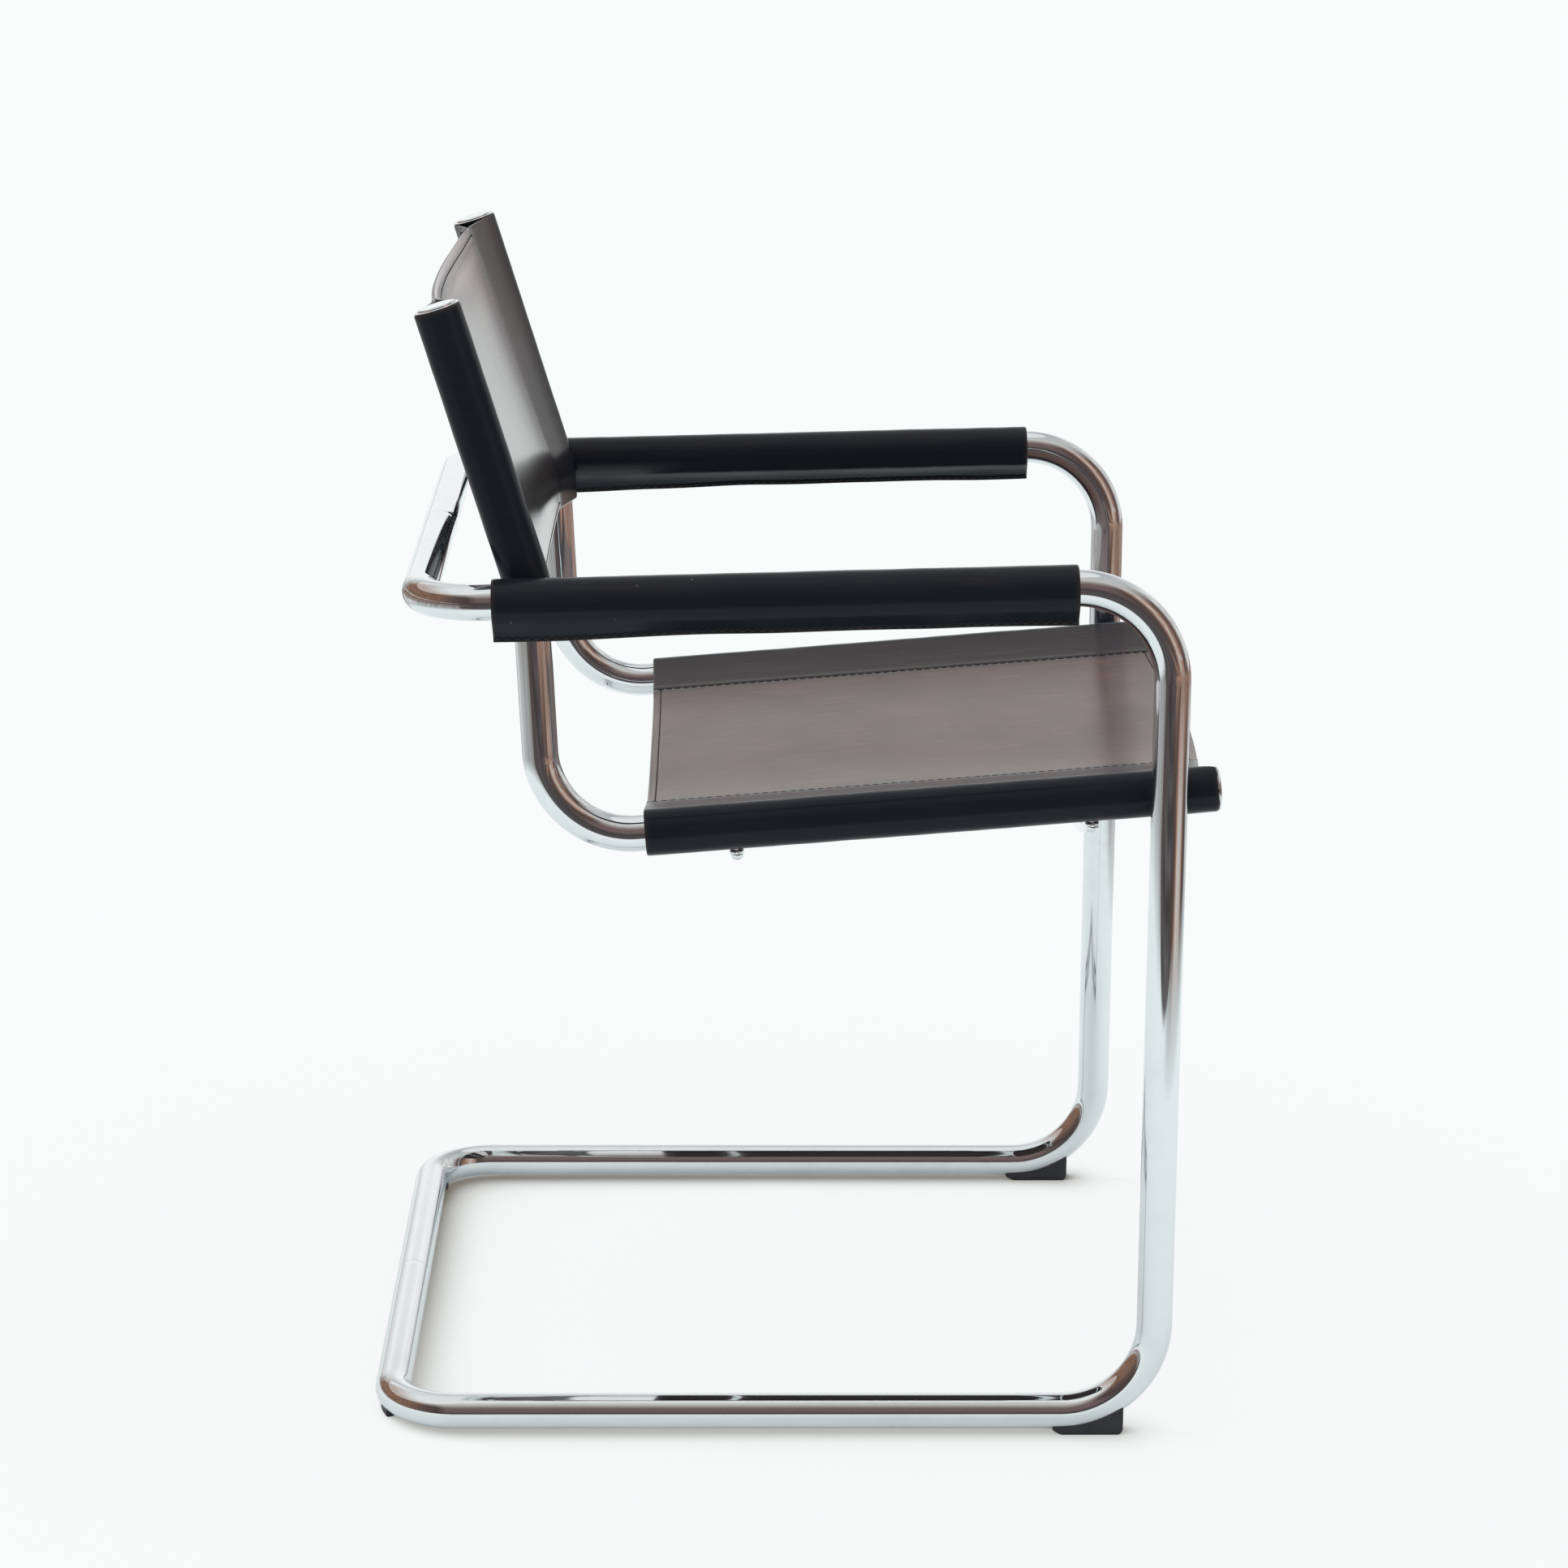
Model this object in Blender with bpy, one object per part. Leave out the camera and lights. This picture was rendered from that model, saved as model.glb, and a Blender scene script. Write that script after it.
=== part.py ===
"""Cantilever armchair of bent steel tube with leather slings, modelled in metres with +Z up.

The chair faces -Y and stands on z = 0, with the origin under the middle of its box.
The sitter's left is +X. Two half frames of tube make the floor sled, the front legs and the arms.
Two inner tubes carry the seat and the back, and each is bolted to a leg and to an arm.
"""
import math

import bmesh
import bpy
from mathutils import Vector

# Steel tube
TUBE_DIAMETER = 0.025
TUBE_WALL = 0.002

# Outer frame, measured between tube axes
FRAME_WIDTH = 0.525
BASE_LENGTH = 0.541
ARM_HEIGHT = 0.6135
ARM_FALL = math.radians(1.6)
ARM_TAIL = 0.027
SIDE_BEND_RADIUS = 0.066
CORNER_BEND_RADIUS = 0.048
SPIGOT_LENGTH = 0.080

# Seat and back tubes, measured on their axes from the line of the legs
SEAT_HEIGHT = 0.460
SEAT_FALL = math.radians(4.7)
RAIL_OVERHANG = 0.036
BACK_SETBACK = 0.4375
UPRIGHT_LEAN = math.radians(3.0)
POST_LEAN = math.radians(17.4)
POST_LENGTH = 0.2025
SEAT_BEND_RADIUS = 0.062
POST_BEND_RADIUS = 0.090

# Leather
LEATHER = 0.003
TUNNEL_PLAY = 0.0005
SLEEVE_PLAY = 0.0015
LEATHER_AIR = 0.001
SEAT_SAG = 0.015
SEAT_SAG_POWER = 4
BACK_TOP_SAG = 0.0245
BACK_LOW_SAG = 0.016
BACK_SAG_POWER = 4
SEAT_FRONT_TRIM = 0.012
BACK_TOP_DIP = 0.005
SEAT_STITCH_INSET = 0.060
BACK_STITCH_INSET = 0.050
FLAP_MARGIN = 0.007
SLING_TO_BEND = 0.006
BACK_DROP = 0.028
SLEEVE_FRONT_REACH = 0.0025
SLEEVE_REAR_INSET = 0.0035
SEAM_DROP = 0.025
SEAM_HEIGHT = 0.007

# Bolted joints between the inner tubes and the frame
BOLT_DIAMETER = 0.006
BOLT_HEAD_DIAMETER = 0.0105
BOLT_HEAD_HEIGHT = 0.0033
NUT_DIAMETER = 0.012
NUT_LENGTH = 0.006
SPACER_DIAMETER = 0.014

# Spreaders under the seat
FRONT_SPREADER_SETBACK = 0.051
REAR_SPREADER_SETBACK = 0.297
SPREADER_ROD = 0.008
SPREADER_BOW = 0.045
TAB_WIDTH = 0.010
TAB_THICKNESS = 0.003
TAB_LENGTH = 0.016
TAB_SCREW_DIAMETER = 0.005
TAB_HEAD_DIAMETER = 0.009
TAB_HEAD_HEIGHT = 0.005
TAB_NUT_DIAMETER = 0.009
TAB_NUT_LENGTH = 0.005

# End caps
CAP_PLUG_LENGTH = 0.012
CAP_RIM = 0.0006
CAP_DOME = 0.002
CAP_INSET = 0.0008

# Glides under the sled
GLIDE_LIFT = 0.0025
GLIDE_WIDTH = 0.018
FRONT_GLIDE_LENGTH = 0.050
FRONT_GLIDE_SETBACK = 0.021
GLIDE_CHAMFER = 0.003
REAR_GLIDE_START = math.radians(-20)
REAR_GLIDE_END = math.radians(25)
GLIDE_SCREW_DIAMETER = 0.004
GLIDE_SCREW_HEAD = 0.007
GLIDE_SCREW_LENGTH = 0.012
GLIDE_SCREW_RECESS = 0.0005
GLIDE_SCREW_REAR_EDGE = 0.014

# Gaps between touching pieces, and how finely round shapes are faceted
CLEARANCE = 0.0003
TUBE_SIDES = 16
SCREW_SIDES = 12
BEND_STEP = math.radians(11.25)
LEATHER_ARC_STEPS = 14
SHEET_STEPS = 9
BOW_STEPS = 12
DOME_STEPS = 4

# Worked out from the sizes above
TUBE_RADIUS = TUBE_DIAMETER / 2
BORE_RADIUS = TUBE_RADIUS - TUBE_WALL
TUBE_GAP = TUNNEL_PLAY + LEATHER + SLEEVE_PLAY + LEATHER + LEATHER_AIR
FRAME_X = FRAME_WIDTH / 2
RAIL_X = FRAME_X - TUBE_DIAMETER - TUBE_GAP
RUNNER_Z = GLIDE_LIFT + TUBE_RADIUS
FRONT_REACH = RAIL_OVERHANG + (CLEARANCE + CAP_RIM + CAP_DOME) * math.cos(SEAT_FALL)
LEG_Y = (FRONT_REACH - BASE_LENGTH - TUBE_RADIUS) / 2
FLOOR_BAR_Y = LEG_Y + BASE_LENGTH
TUNNEL_RADIUS = (TUBE_RADIUS + TUNNEL_PLAY) / math.cos(math.pi / TUBE_SIDES) + LEATHER / 2
TUNNEL_OUTER = TUNNEL_RADIUS + LEATHER / 2 / math.cos(math.pi / LEATHER_ARC_STEPS)

ACROSS = Vector((1, 0, 0))
SIDES = {"left": 1, "right": -1}

FINISHES = {
    "chrome": ((0.80, 0.81, 0.82), 0.06, 1.0),
    "leather": ((0.018, 0.015, 0.014), 0.35, 0.0),
    "zinc": ((0.62, 0.63, 0.65), 0.30, 1.0),
    "black_plastic": ((0.012, 0.012, 0.014), 0.45, 0.0),
}


def make_finishes():
    """One Principled material for each finish."""
    made = {}
    for name, (colour, roughness, metallic) in FINISHES.items():
        material = bpy.data.materials.new(name)
        material.use_nodes = True
        shader = material.node_tree.nodes["Principled BSDF"]
        shader.inputs["Base Color"].default_value = (*colour, 1.0)
        shader.inputs["Roughness"].default_value = roughness
        shader.inputs["Metallic"].default_value = metallic
        made[name] = material
    return made


def make_object(name, bm, finish=None):
    """Object from a bmesh, with outward faces and smooth round sides."""
    bmesh.ops.recalc_face_normals(bm, faces=bm.faces[:])
    mesh = bpy.data.meshes.new(name)
    bm.to_mesh(mesh)
    bm.free()
    mesh.shade_smooth()
    mesh.set_sharp_from_angle(angle=math.radians(35))
    if finish:
        mesh.materials.append(finish)
    made = bpy.data.objects.new(name, mesh)
    bpy.context.scene.collection.objects.link(made)
    return made


def make_cutter(name, bm):
    """Hidden object that only serves to cut others."""
    cutter = make_object(name, bm)
    cutter.hide_render = True
    cutter.display_type = "WIRE"
    return cutter


def cut(target, cutter):
    """Take the cutter's shape away from the target."""
    modifier = target.modifiers.new(cutter.name, "BOOLEAN")
    modifier.operation = "DIFFERENCE"
    modifier.solver = "EXACT"
    modifier.object = cutter


def loft(bm, rings, closed=False):
    """Join rings of points with quads, either into a closed loop of rings or with flat ends."""
    rows = [[bm.verts.new(point) for point in ring] for ring in rings]
    pairs = list(zip(rows, rows[1:]))
    if closed:
        pairs.append((rows[-1], rows[0]))
    else:
        bm.faces.new(rows[0])
        bm.faces.new(rows[-1])
    for one, two in pairs:
        for index in range(len(one)):
            after = (index + 1) % len(one)
            bm.faces.new((one[index], one[after], two[after], two[index]))


def circle(centre, first, second, radius, sides):
    """Points round a centre, in the plane of two square directions."""
    turn = 2 * math.pi / sides
    return [centre + (first * math.cos(turn * i) + second * math.sin(turn * i)) * radius for i in range(sides)]


def square_directions(axis):
    """Two directions square to an axis and to each other."""
    seed = Vector((0, 0, 1)) if abs(axis.z) < 0.7 else Vector((1, 0, 0))
    first = axis.cross(seed).normalized()
    return first, axis.cross(first)


def turned(bm, base, axis, profile, sides, closed=False):
    """Solid turned round an axis from (radius, height) points, hollow if its profile is closed."""
    first, second = square_directions(axis)
    rings = [circle(base + axis * height, first, second, radius, sides) for radius, height in profile]
    loft(bm, rings, closed)


def hole_radius(diameter):
    """Radius of a faceted hole that clears a round shank of a diameter."""
    return (diameter / 2 + CLEARANCE) / math.cos(math.pi / SCREW_SIDES)


def drill(target, holes):
    """Cut round holes, each given as (centre, axis, radius, length)."""
    bm = bmesh.new()
    for centre, axis, radius, length in holes:
        turned(bm, centre, axis, [(radius, -length / 2), (radius, length / 2)], SCREW_SIDES)
    cut(target, make_cutter("holes_in_" + target.name, bm))


def rounded_path(corners, radii):
    """(point, direction) pairs along straight runs, with an arc of its radius at each inner corner."""
    path = [(corners[0], (corners[1] - corners[0]).normalized())]
    for before, corner, after, radius in zip(corners, corners[1:], corners[2:], radii):
        incoming = (corner - before).normalized()
        outgoing = (after - corner).normalized()
        turn = incoming.angle(outgoing)
        inward = (outgoing - incoming * incoming.dot(outgoing)).normalized()
        start = corner - incoming * radius * math.tan(turn / 2)
        centre = start + inward * radius
        steps = 2 * math.ceil(turn / BEND_STEP / 2)
        for step in range(steps + 1):
            angle = turn * step / steps
            point = centre + (incoming * math.sin(angle) - inward * math.cos(angle)) * radius
            path.append((point, incoming * math.cos(angle) + inward * math.sin(angle)))
    path.append((corners[-1], (corners[-1] - corners[-2]).normalized()))
    return path


def sweep_rings(path, normal, radius):
    """Rings square to a path, carried along it without twisting."""
    rings = []
    previous = path[0][1]
    for point, direction in path:
        normal = previous.rotation_difference(direction) @ normal
        previous = direction
        rings.append(circle(point, normal, direction.cross(normal), radius, TUBE_SIDES))
    return rings


def make_tube(name, path, normal, outer, inner, finish):
    """Bent tube, open at both ends."""
    bm = bmesh.new()
    rings = sweep_rings(path, normal, outer) + sweep_rings(path, normal, inner)[::-1]
    loft(bm, rings, closed=True)
    return make_object(name, bm, finish)


def make_core(name, path, normal):
    """Cutter that fills a tube and the clearance round it."""
    bm = bmesh.new()
    loft(bm, sweep_rings(path, normal, (TUBE_RADIUS + CLEARANCE) / math.cos(math.pi / TUBE_SIDES)))
    return make_cutter(name, bm)


def distances(path):
    """Distance of each point of a path from its start."""
    total = [0.0]
    for (one, _), (two, _) in zip(path, path[1:]):
        total.append(total[-1] + (two - one).length)
    return total


def place_on(path, distance):
    """(point, direction) at a distance along a path."""
    along = distances(path)
    index = max(i for i in range(len(path) - 1) if i == 0 or along[i] <= distance)
    share = (distance - along[index]) / (along[index + 1] - along[index])
    (one, first), (two, second) = path[index], path[index + 1]
    return one.lerp(two, share), first.lerp(second, share).normalized()


def stretch_of(path, start, end):
    """The part of a path between two distances along it."""
    inner = [step for step, along in zip(path, distances(path)) if start < along < end]
    return [place_on(path, start), *inner, place_on(path, end)]


def arm_z(y):
    """Height of the arm axis."""
    return ARM_HEIGHT - (y - LEG_Y) * math.tan(ARM_FALL)


def rail_z(y):
    """Height of the seat rail axis, carried on in a straight line."""
    return SEAT_HEIGHT - (y - LEG_Y) * math.tan(SEAT_FALL)


def leaning(angle):
    """Upward direction that leans back by an angle."""
    return Vector((0, math.sin(angle), math.cos(angle)))


def frame_path(side):
    """Axis of one half frame, from the middle of the floor bar to the middle of the top bar."""
    top_y = LEG_Y + BACK_SETBACK + ARM_TAIL + CORNER_BEND_RADIUS
    middle, outside = side * CLEARANCE / 2, side * FRAME_X
    corners = [
        Vector((middle, FLOOR_BAR_Y, RUNNER_Z)),
        Vector((outside, FLOOR_BAR_Y, RUNNER_Z)),
        Vector((outside, LEG_Y, RUNNER_Z)),
        Vector((outside, LEG_Y, ARM_HEIGHT)),
        Vector((outside, top_y, arm_z(top_y))),
        Vector((middle, top_y, arm_z(top_y))),
    ]
    return rounded_path(corners, [CORNER_BEND_RADIUS, SIDE_BEND_RADIUS, SIDE_BEND_RADIUS, CORNER_BEND_RADIUS])


def leg_joint():
    """Where the leg axis and the rail axis cross, seen from the side."""
    return Vector((0, LEG_Y, SEAT_HEIGHT))


def arm_joint():
    """Where the arm axis and the back tube's axis cross, seen from the side."""
    y = LEG_Y + BACK_SETBACK
    return Vector((0, y, arm_z(y)))


def back_path(x):
    """Axis of one seat and back tube, from the front of the rail to the top of the post.

    The arm joint lies on the middle of the bend between upright and post.
    """
    half_turn = (POST_LEAN - UPRIGHT_LEAN) / 2
    to_corner = POST_BEND_RADIUS * (1 / math.cos(half_turn) - 1)
    mean_lean = (POST_LEAN + UPRIGHT_LEAN) / 2
    corner = arm_joint() - Vector((0, math.cos(mean_lean), -math.sin(mean_lean))) * to_corner
    upright, fall = leaning(UPRIGHT_LEAN), math.tan(SEAT_FALL)
    drop = (corner.z - rail_z(corner.y)) / (upright.z + upright.y * fall)
    front_y = LEG_Y - RAIL_OVERHANG
    corners = [
        Vector((x, front_y, rail_z(front_y))),
        corner - upright * drop + ACROSS * x,
        corner + ACROSS * x,
        corner + leaning(POST_LEAN) * POST_LENGTH + ACROSS * x,
    ]
    return rounded_path(corners, [SEAT_BEND_RADIUS, POST_BEND_RADIUS])


def along_rail(setback):
    """Distance along the rail from its front end to a place behind the legs."""
    return (RAIL_OVERHANG + setback) / math.cos(SEAT_FALL)


def rail_end(path):
    """Distance along a seat and back tube to the start of its bend at the rear of the seat."""
    return distances(path)[1]


def joint_distance(path):
    """Distance along a seat and back tube to its arm joint."""
    joint = arm_joint()
    gaps = [(point - Vector((point.x, joint.y, joint.z))).length for point, _ in path]
    return distances(path)[gaps.index(min(gaps))]


def sitter_side(direction):
    """Direction from a seat and back tube towards the sitter, square to the tube."""
    return Vector((0, -direction.z, direction.y))


def thick_line(points, thickness):
    """Pairs of points on both sides of a line, half the thickness away."""
    pairs = []
    for index, point in enumerate(points):
        before = (point - points[index - 1]).normalized() if index else None
        after = (points[index + 1] - point).normalized() if index + 1 < len(points) else None
        one, two = before or after, after or before
        normal = Vector((-one.y - two.y, one.x + two.x)).normalized()
        reach = thickness / 2 / normal.dot(Vector((-one.y, one.x)))
        pairs.append((point + normal * reach, point - normal * reach))
    return pairs


def sling_section(sag, power, stitch_inset):
    """Leather across a sling, from one flap round both tubes to the other flap.

    Points are (across, towards the sitter), from a line between the two tube axes.
    The sheet leaves each tunnel at its tangent, and each flap is sewn under the sheet.
    A higher power keeps the middle of the sheet flatter.
    """
    lean = 0.0
    for _ in range(8):
        lean = math.atan(power * sag / (RAIL_X - TUNNEL_RADIUS * math.sin(lean)))
    edge = Vector((RAIL_X - TUNNEL_RADIUS * math.sin(lean), TUNNEL_RADIUS * math.cos(lean)))

    def sheet(x):
        return edge.y - sag * (1 - (x / edge.x) ** power)

    def under_sheet(x):
        slope = power * sag * x ** (power - 1) / edge.x ** power
        return Vector((x, sheet(x) - (LEATHER + CLEARANCE) * math.hypot(1, slope)))

    meet = under_sheet(RAIL_X - stitch_inset + FLAP_MARGIN)
    free_edge = under_sheet(RAIL_X - stitch_inset - FLAP_MARGIN)
    to_meet = meet - Vector((RAIL_X, 0))
    leave = math.atan2(to_meet.x, to_meet.y) + 2 * math.pi - math.acos(TUNNEL_RADIUS / to_meet.length)
    half = [Vector((edge.x * i / SHEET_STEPS, sheet(edge.x * i / SHEET_STEPS))) for i in range(SHEET_STEPS)]
    for step in range(LEATHER_ARC_STEPS + 1):
        angle = -lean + (leave + lean) * step / LEATHER_ARC_STEPS
        half.append(Vector((RAIL_X + TUNNEL_RADIUS * math.sin(angle), TUNNEL_RADIUS * math.cos(angle))))
    half += [meet, free_edge]
    mirrored = [Vector((-point.x, point.y)) for point in half[:0:-1]]
    return thick_line(mirrored + half, LEATHER)


def sleeve_section():
    """Leather round an arm, hanging on the tube, with both edges sewn together below it."""
    radius = TUBE_RADIUS + SLEEVE_PLAY + LEATHER / 2
    centre = Vector((0, CLEARANCE - SLEEVE_PLAY))
    seam_x = (LEATHER + CLEARANCE) / 2
    seam_top = Vector((seam_x, SEAM_HEIGHT - SEAM_DROP))
    to_seam = seam_top - centre
    leave = math.atan2(to_seam.x, to_seam.y) - math.acos(radius / to_seam.length)
    half = []
    for step in range(LEATHER_ARC_STEPS):
        angle = leave * step / (LEATHER_ARC_STEPS - 1)
        half.append(centre + Vector((math.sin(angle), math.cos(angle))) * radius)
    half += [seam_top, Vector((seam_x, -SEAM_DROP))]
    mirrored = [Vector((-point.x, point.y)) for point in half[:0:-1]]
    return thick_line(mirrored + half, LEATHER)


def sheet_trim(section, at_tunnels, in_middle):
    """How far the sheet and the flaps of a sling stop short of the ends of its tunnels, for each pair."""
    middle, last = len(section) // 2, len(section) - 1
    trims = []
    for index, (point, _) in enumerate(section):
        on_sheet = abs(index - middle) < SHEET_STEPS
        on_flap = index < 2 or index > last - 2
        share = (point.x / RAIL_X) ** 2
        trims.append(in_middle + (at_tunnels - in_middle) * share if on_sheet or on_flap else 0)
    return trims


def make_leather(name, stations, finish):
    """Leather of one thickness through stations, each given as (origin, upward direction, section, shifts)."""
    bm = bmesh.new()
    grid = []
    for origin, upward, section, shifts in stations:
        along = upward.cross(ACROSS)
        row = []
        for pair, shift in zip(section, shifts):
            row.append([bm.verts.new(origin + ACROSS * point.x + upward * point.y + along * shift) for point in pair])
        grid.append(row)
    for one, two in zip(grid, grid[1:]):
        for index in range(len(one) - 1):
            for face in (0, 1):
                corners = (one[index], one[index + 1], two[index + 1], two[index])
                bm.faces.new([corner[face] for corner in corners])
        for edge in (0, -1):
            bm.faces.new((one[edge][0], one[edge][1], two[edge][1], two[edge][0]))
    for row in (grid[0], grid[-1]):
        for one, two in zip(row, row[1:]):
            bm.faces.new((one[0], one[1], two[1], two[0]))
    return make_object(name, bm, finish)


def make_frame(finishes, cores):
    """Two half frames of sled, legs and arms, and the spigots that join them inside the two cross bars."""
    up = Vector((0, 0, 1))
    for name, side in SIDES.items():
        path = frame_path(side)
        frame = make_tube(name + "_frame_tube", path, up, TUBE_RADIUS, BORE_RADIUS, finishes["chrome"])
        cores[name + "_frame"] = make_core(name + "_frame_core", path, up)
        wall = ACROSS * side * (FRAME_X - TUBE_RADIUS)
        bolt_hole = hole_radius(BOLT_DIAMETER)
        holes = [(joint + wall, ACROSS, bolt_hole, TUBE_RADIUS) for joint in (leg_joint(), arm_joint())]
        for foot in (front_glide_screw(side), rear_glide_screw(side)):
            middle = foot + up * RUNNER_Z / 2
            holes.append((middle, up, hole_radius(GLIDE_SCREW_DIAMETER), RUNNER_Z))
        drill(frame, holes)
    outer = BORE_RADIUS * math.cos(math.pi / TUBE_SIDES) - CLEARANCE
    half = ACROSS * SPIGOT_LENGTH / 2
    for name, (end, _) in {"floor_bar": path[0], "top_bar": path[-1]}.items():
        middle = Vector((0, end.y, end.z))
        run = [(middle - half, ACROSS), (middle + half, ACROSS)]
        make_tube(name + "_spigot", run, up, outer, outer - TUBE_WALL, finishes["zinc"])


def make_back_tubes(finishes, cores):
    """Seat rail, upright and back post of each side, bent from one tube."""
    for name, side in SIDES.items():
        path = back_path(side * RAIL_X)
        tube = make_tube(name + "_seat_back_tube", path, ACROSS, TUBE_RADIUS, BORE_RADIUS, finishes["chrome"])
        cores[name + "_rail"] = make_core(name + "_rail_core", path, ACROSS)
        outward = ACROSS * side * TUBE_RADIUS
        holes = []
        for joint in (leg_joint(), arm_joint()):
            axis_point = joint + ACROSS * side * RAIL_X
            holes.append((axis_point + outward, ACROSS, hole_radius(BOLT_DIAMETER), TUBE_RADIUS))
            holes.append((axis_point - outward, ACROSS, hole_radius(BOLT_HEAD_DIAMETER), TUBE_RADIUS))
        for setback in (FRONT_SPREADER_SETBACK, REAR_SPREADER_SETBACK):
            point, direction = place_on(path, along_rail(setback))
            up = sitter_side(direction)
            holes.append((point - up * TUBE_RADIUS, up, hole_radius(TAB_SCREW_DIAMETER), TUBE_RADIUS))
        drill(tube, holes)


def make_side_joints(finishes, cores):
    """Bolt, nut and saddle spacer of each joint between an inner tube and the frame."""
    flat_bore = BORE_RADIUS * math.cos(math.pi / TUBE_SIDES)
    head_radius, shank_radius = BOLT_HEAD_DIAMETER / 2, BOLT_DIAMETER / 2
    head_reach = head_radius * (1 + math.tan(BEND_STEP / 2))
    seat_x = RAIL_X + math.sqrt(flat_bore ** 2 - head_reach ** 2) - CLEARANCE
    nut_x = FRAME_X - math.sqrt(flat_bore ** 2 - (NUT_DIAMETER / 2) ** 2) + CLEARANCE
    bolt = [
        (head_radius * 0.6, -BOLT_HEAD_HEIGHT),
        (head_radius * 0.9, -BOLT_HEAD_HEIGHT * 0.6),
        (head_radius, -BOLT_HEAD_HEIGHT * 0.2),
        (head_radius, 0),
        (shank_radius, 0),
        (shank_radius, nut_x + NUT_LENGTH - seat_x),
    ]
    hole = hole_radius(BOLT_DIAMETER)
    nut = [(hole, 0), (NUT_DIAMETER / 2, 0), (NUT_DIAMETER / 2, NUT_LENGTH), (hole, NUT_LENGTH)]
    reach = FRAME_X - RAIL_X
    spacer = [(hole, 0), (SPACER_DIAMETER / 2, 0), (SPACER_DIAMETER / 2, reach), (hole, reach)]
    for name, side in SIDES.items():
        outward = ACROSS * side
        for place, joint in {"leg": leg_joint(), "arm": arm_joint()}.items():
            label = name + "_" + place
            bm = bmesh.new()
            turned(bm, joint + outward * seat_x, outward, bolt, SCREW_SIDES)
            make_object(label + "_bolt", bm, finishes["zinc"])
            bm = bmesh.new()
            turned(bm, joint + outward * nut_x, outward, nut, SCREW_SIDES, closed=True)
            make_object(label + "_nut", bm, finishes["zinc"])
            bm = bmesh.new()
            turned(bm, joint + outward * RAIL_X, outward, spacer, TUBE_SIDES, closed=True)
            made = make_object(label + "_spacer", bm, finishes["black_plastic"])
            cut(made, cores[name + "_frame"])
            cut(made, cores[name + "_rail"])


def spreader_outline():
    """(across, up, half width, half thickness) along a spreader, measured from the rail axes."""
    tab_up = -(TUNNEL_OUTER + CLEARANCE + TAB_THICKNESS / 2)
    rod_up = tab_up + TAB_THICKNESS / 2 - SPREADER_ROD / 2
    wide, thin, rod = TAB_WIDTH / 2, TAB_THICKNESS / 2, SPREADER_ROD / 2
    tab_end = RAIL_X + wide - TAB_LENGTH
    rod_end = tab_end - SPREADER_ROD
    outer = [
        (RAIL_X + wide, tab_up, wide * 0.4, thin),
        (RAIL_X + wide * 0.75, tab_up, wide * 0.8, thin),
        (RAIL_X + wide * 0.2, tab_up, wide, thin),
        (tab_end, tab_up, wide, thin),
    ]
    middle = []
    for step in range(BOW_STEPS + 1):
        share = 1 - 2 * step / BOW_STEPS
        middle.append((rod_end * share, rod_up - SPREADER_BOW * (1 - share ** 2), rod, rod))
    mirrored = [(-across, up, width, thickness) for across, up, width, thickness in outer[::-1]]
    return outer + middle + mirrored


def make_spreaders(finishes):
    """Bowed rods that hold the two rails apart, with flat ends screwed up into the rails."""
    outline = spreader_outline()
    tab_under = outline[0][1] - TAB_THICKNESS / 2 - CLEARANCE
    flat_bore = BORE_RADIUS * math.cos(math.pi / TUBE_SIDES)
    nut_radius, head_radius, shank_radius = TAB_NUT_DIAMETER / 2, TAB_HEAD_DIAMETER / 2, TAB_SCREW_DIAMETER / 2
    nut_up = CLEARANCE - math.sqrt(flat_bore ** 2 - nut_radius ** 2)
    hole = hole_radius(TAB_SCREW_DIAMETER)
    nut = [(hole, 0), (nut_radius, 0), (nut_radius, TAB_NUT_LENGTH), (hole, TAB_NUT_LENGTH)]
    dome = []
    for step in range(DOME_STEPS):
        angle = math.pi / 2 * (1 - step / DOME_STEPS)
        dome.append((head_radius * max(math.cos(angle), 0.15), -TAB_HEAD_HEIGHT * math.sin(angle)))
    screw = dome + [(head_radius, 0), (shank_radius, 0), (shank_radius, nut_up + TAB_NUT_LENGTH - tab_under)]
    for name, setback in {"front": FRONT_SPREADER_SETBACK, "rear": REAR_SPREADER_SETBACK}.items():
        origin, direction = place_on(back_path(0), along_rail(setback))
        up = sitter_side(direction)
        rings = []
        for index, (across, height, width, thickness) in enumerate(outline):
            one, two = outline[max(index - 1, 0)], outline[min(index + 1, len(outline) - 1)]
            run = (ACROSS * (two[0] - one[0]) + up * (two[1] - one[1])).normalized()
            normal = run.cross(direction)
            centre = origin + ACROSS * across + up * height
            rings.append(circle(centre, direction * width, normal * thickness, 1, SCREW_SIDES))
        bm = bmesh.new()
        loft(bm, rings)
        spreader = make_object(name + "_spreader", bm, finishes["chrome"])
        holes = []
        for label, side in SIDES.items():
            on_rail = origin + ACROSS * side * RAIL_X
            holes.append((on_rail + up * outline[0][1], up, hole, 4 * TAB_THICKNESS))
            bm = bmesh.new()
            turned(bm, on_rail + up * tab_under, up, screw, SCREW_SIDES)
            make_object(f"{label}_{name}_spreader_screw", bm, finishes["chrome"])
            bm = bmesh.new()
            turned(bm, on_rail + up * nut_up, up, nut, SCREW_SIDES, closed=True)
            make_object(f"{label}_{name}_spreader_nut", bm, finishes["zinc"])
        drill(spreader, holes)


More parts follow.
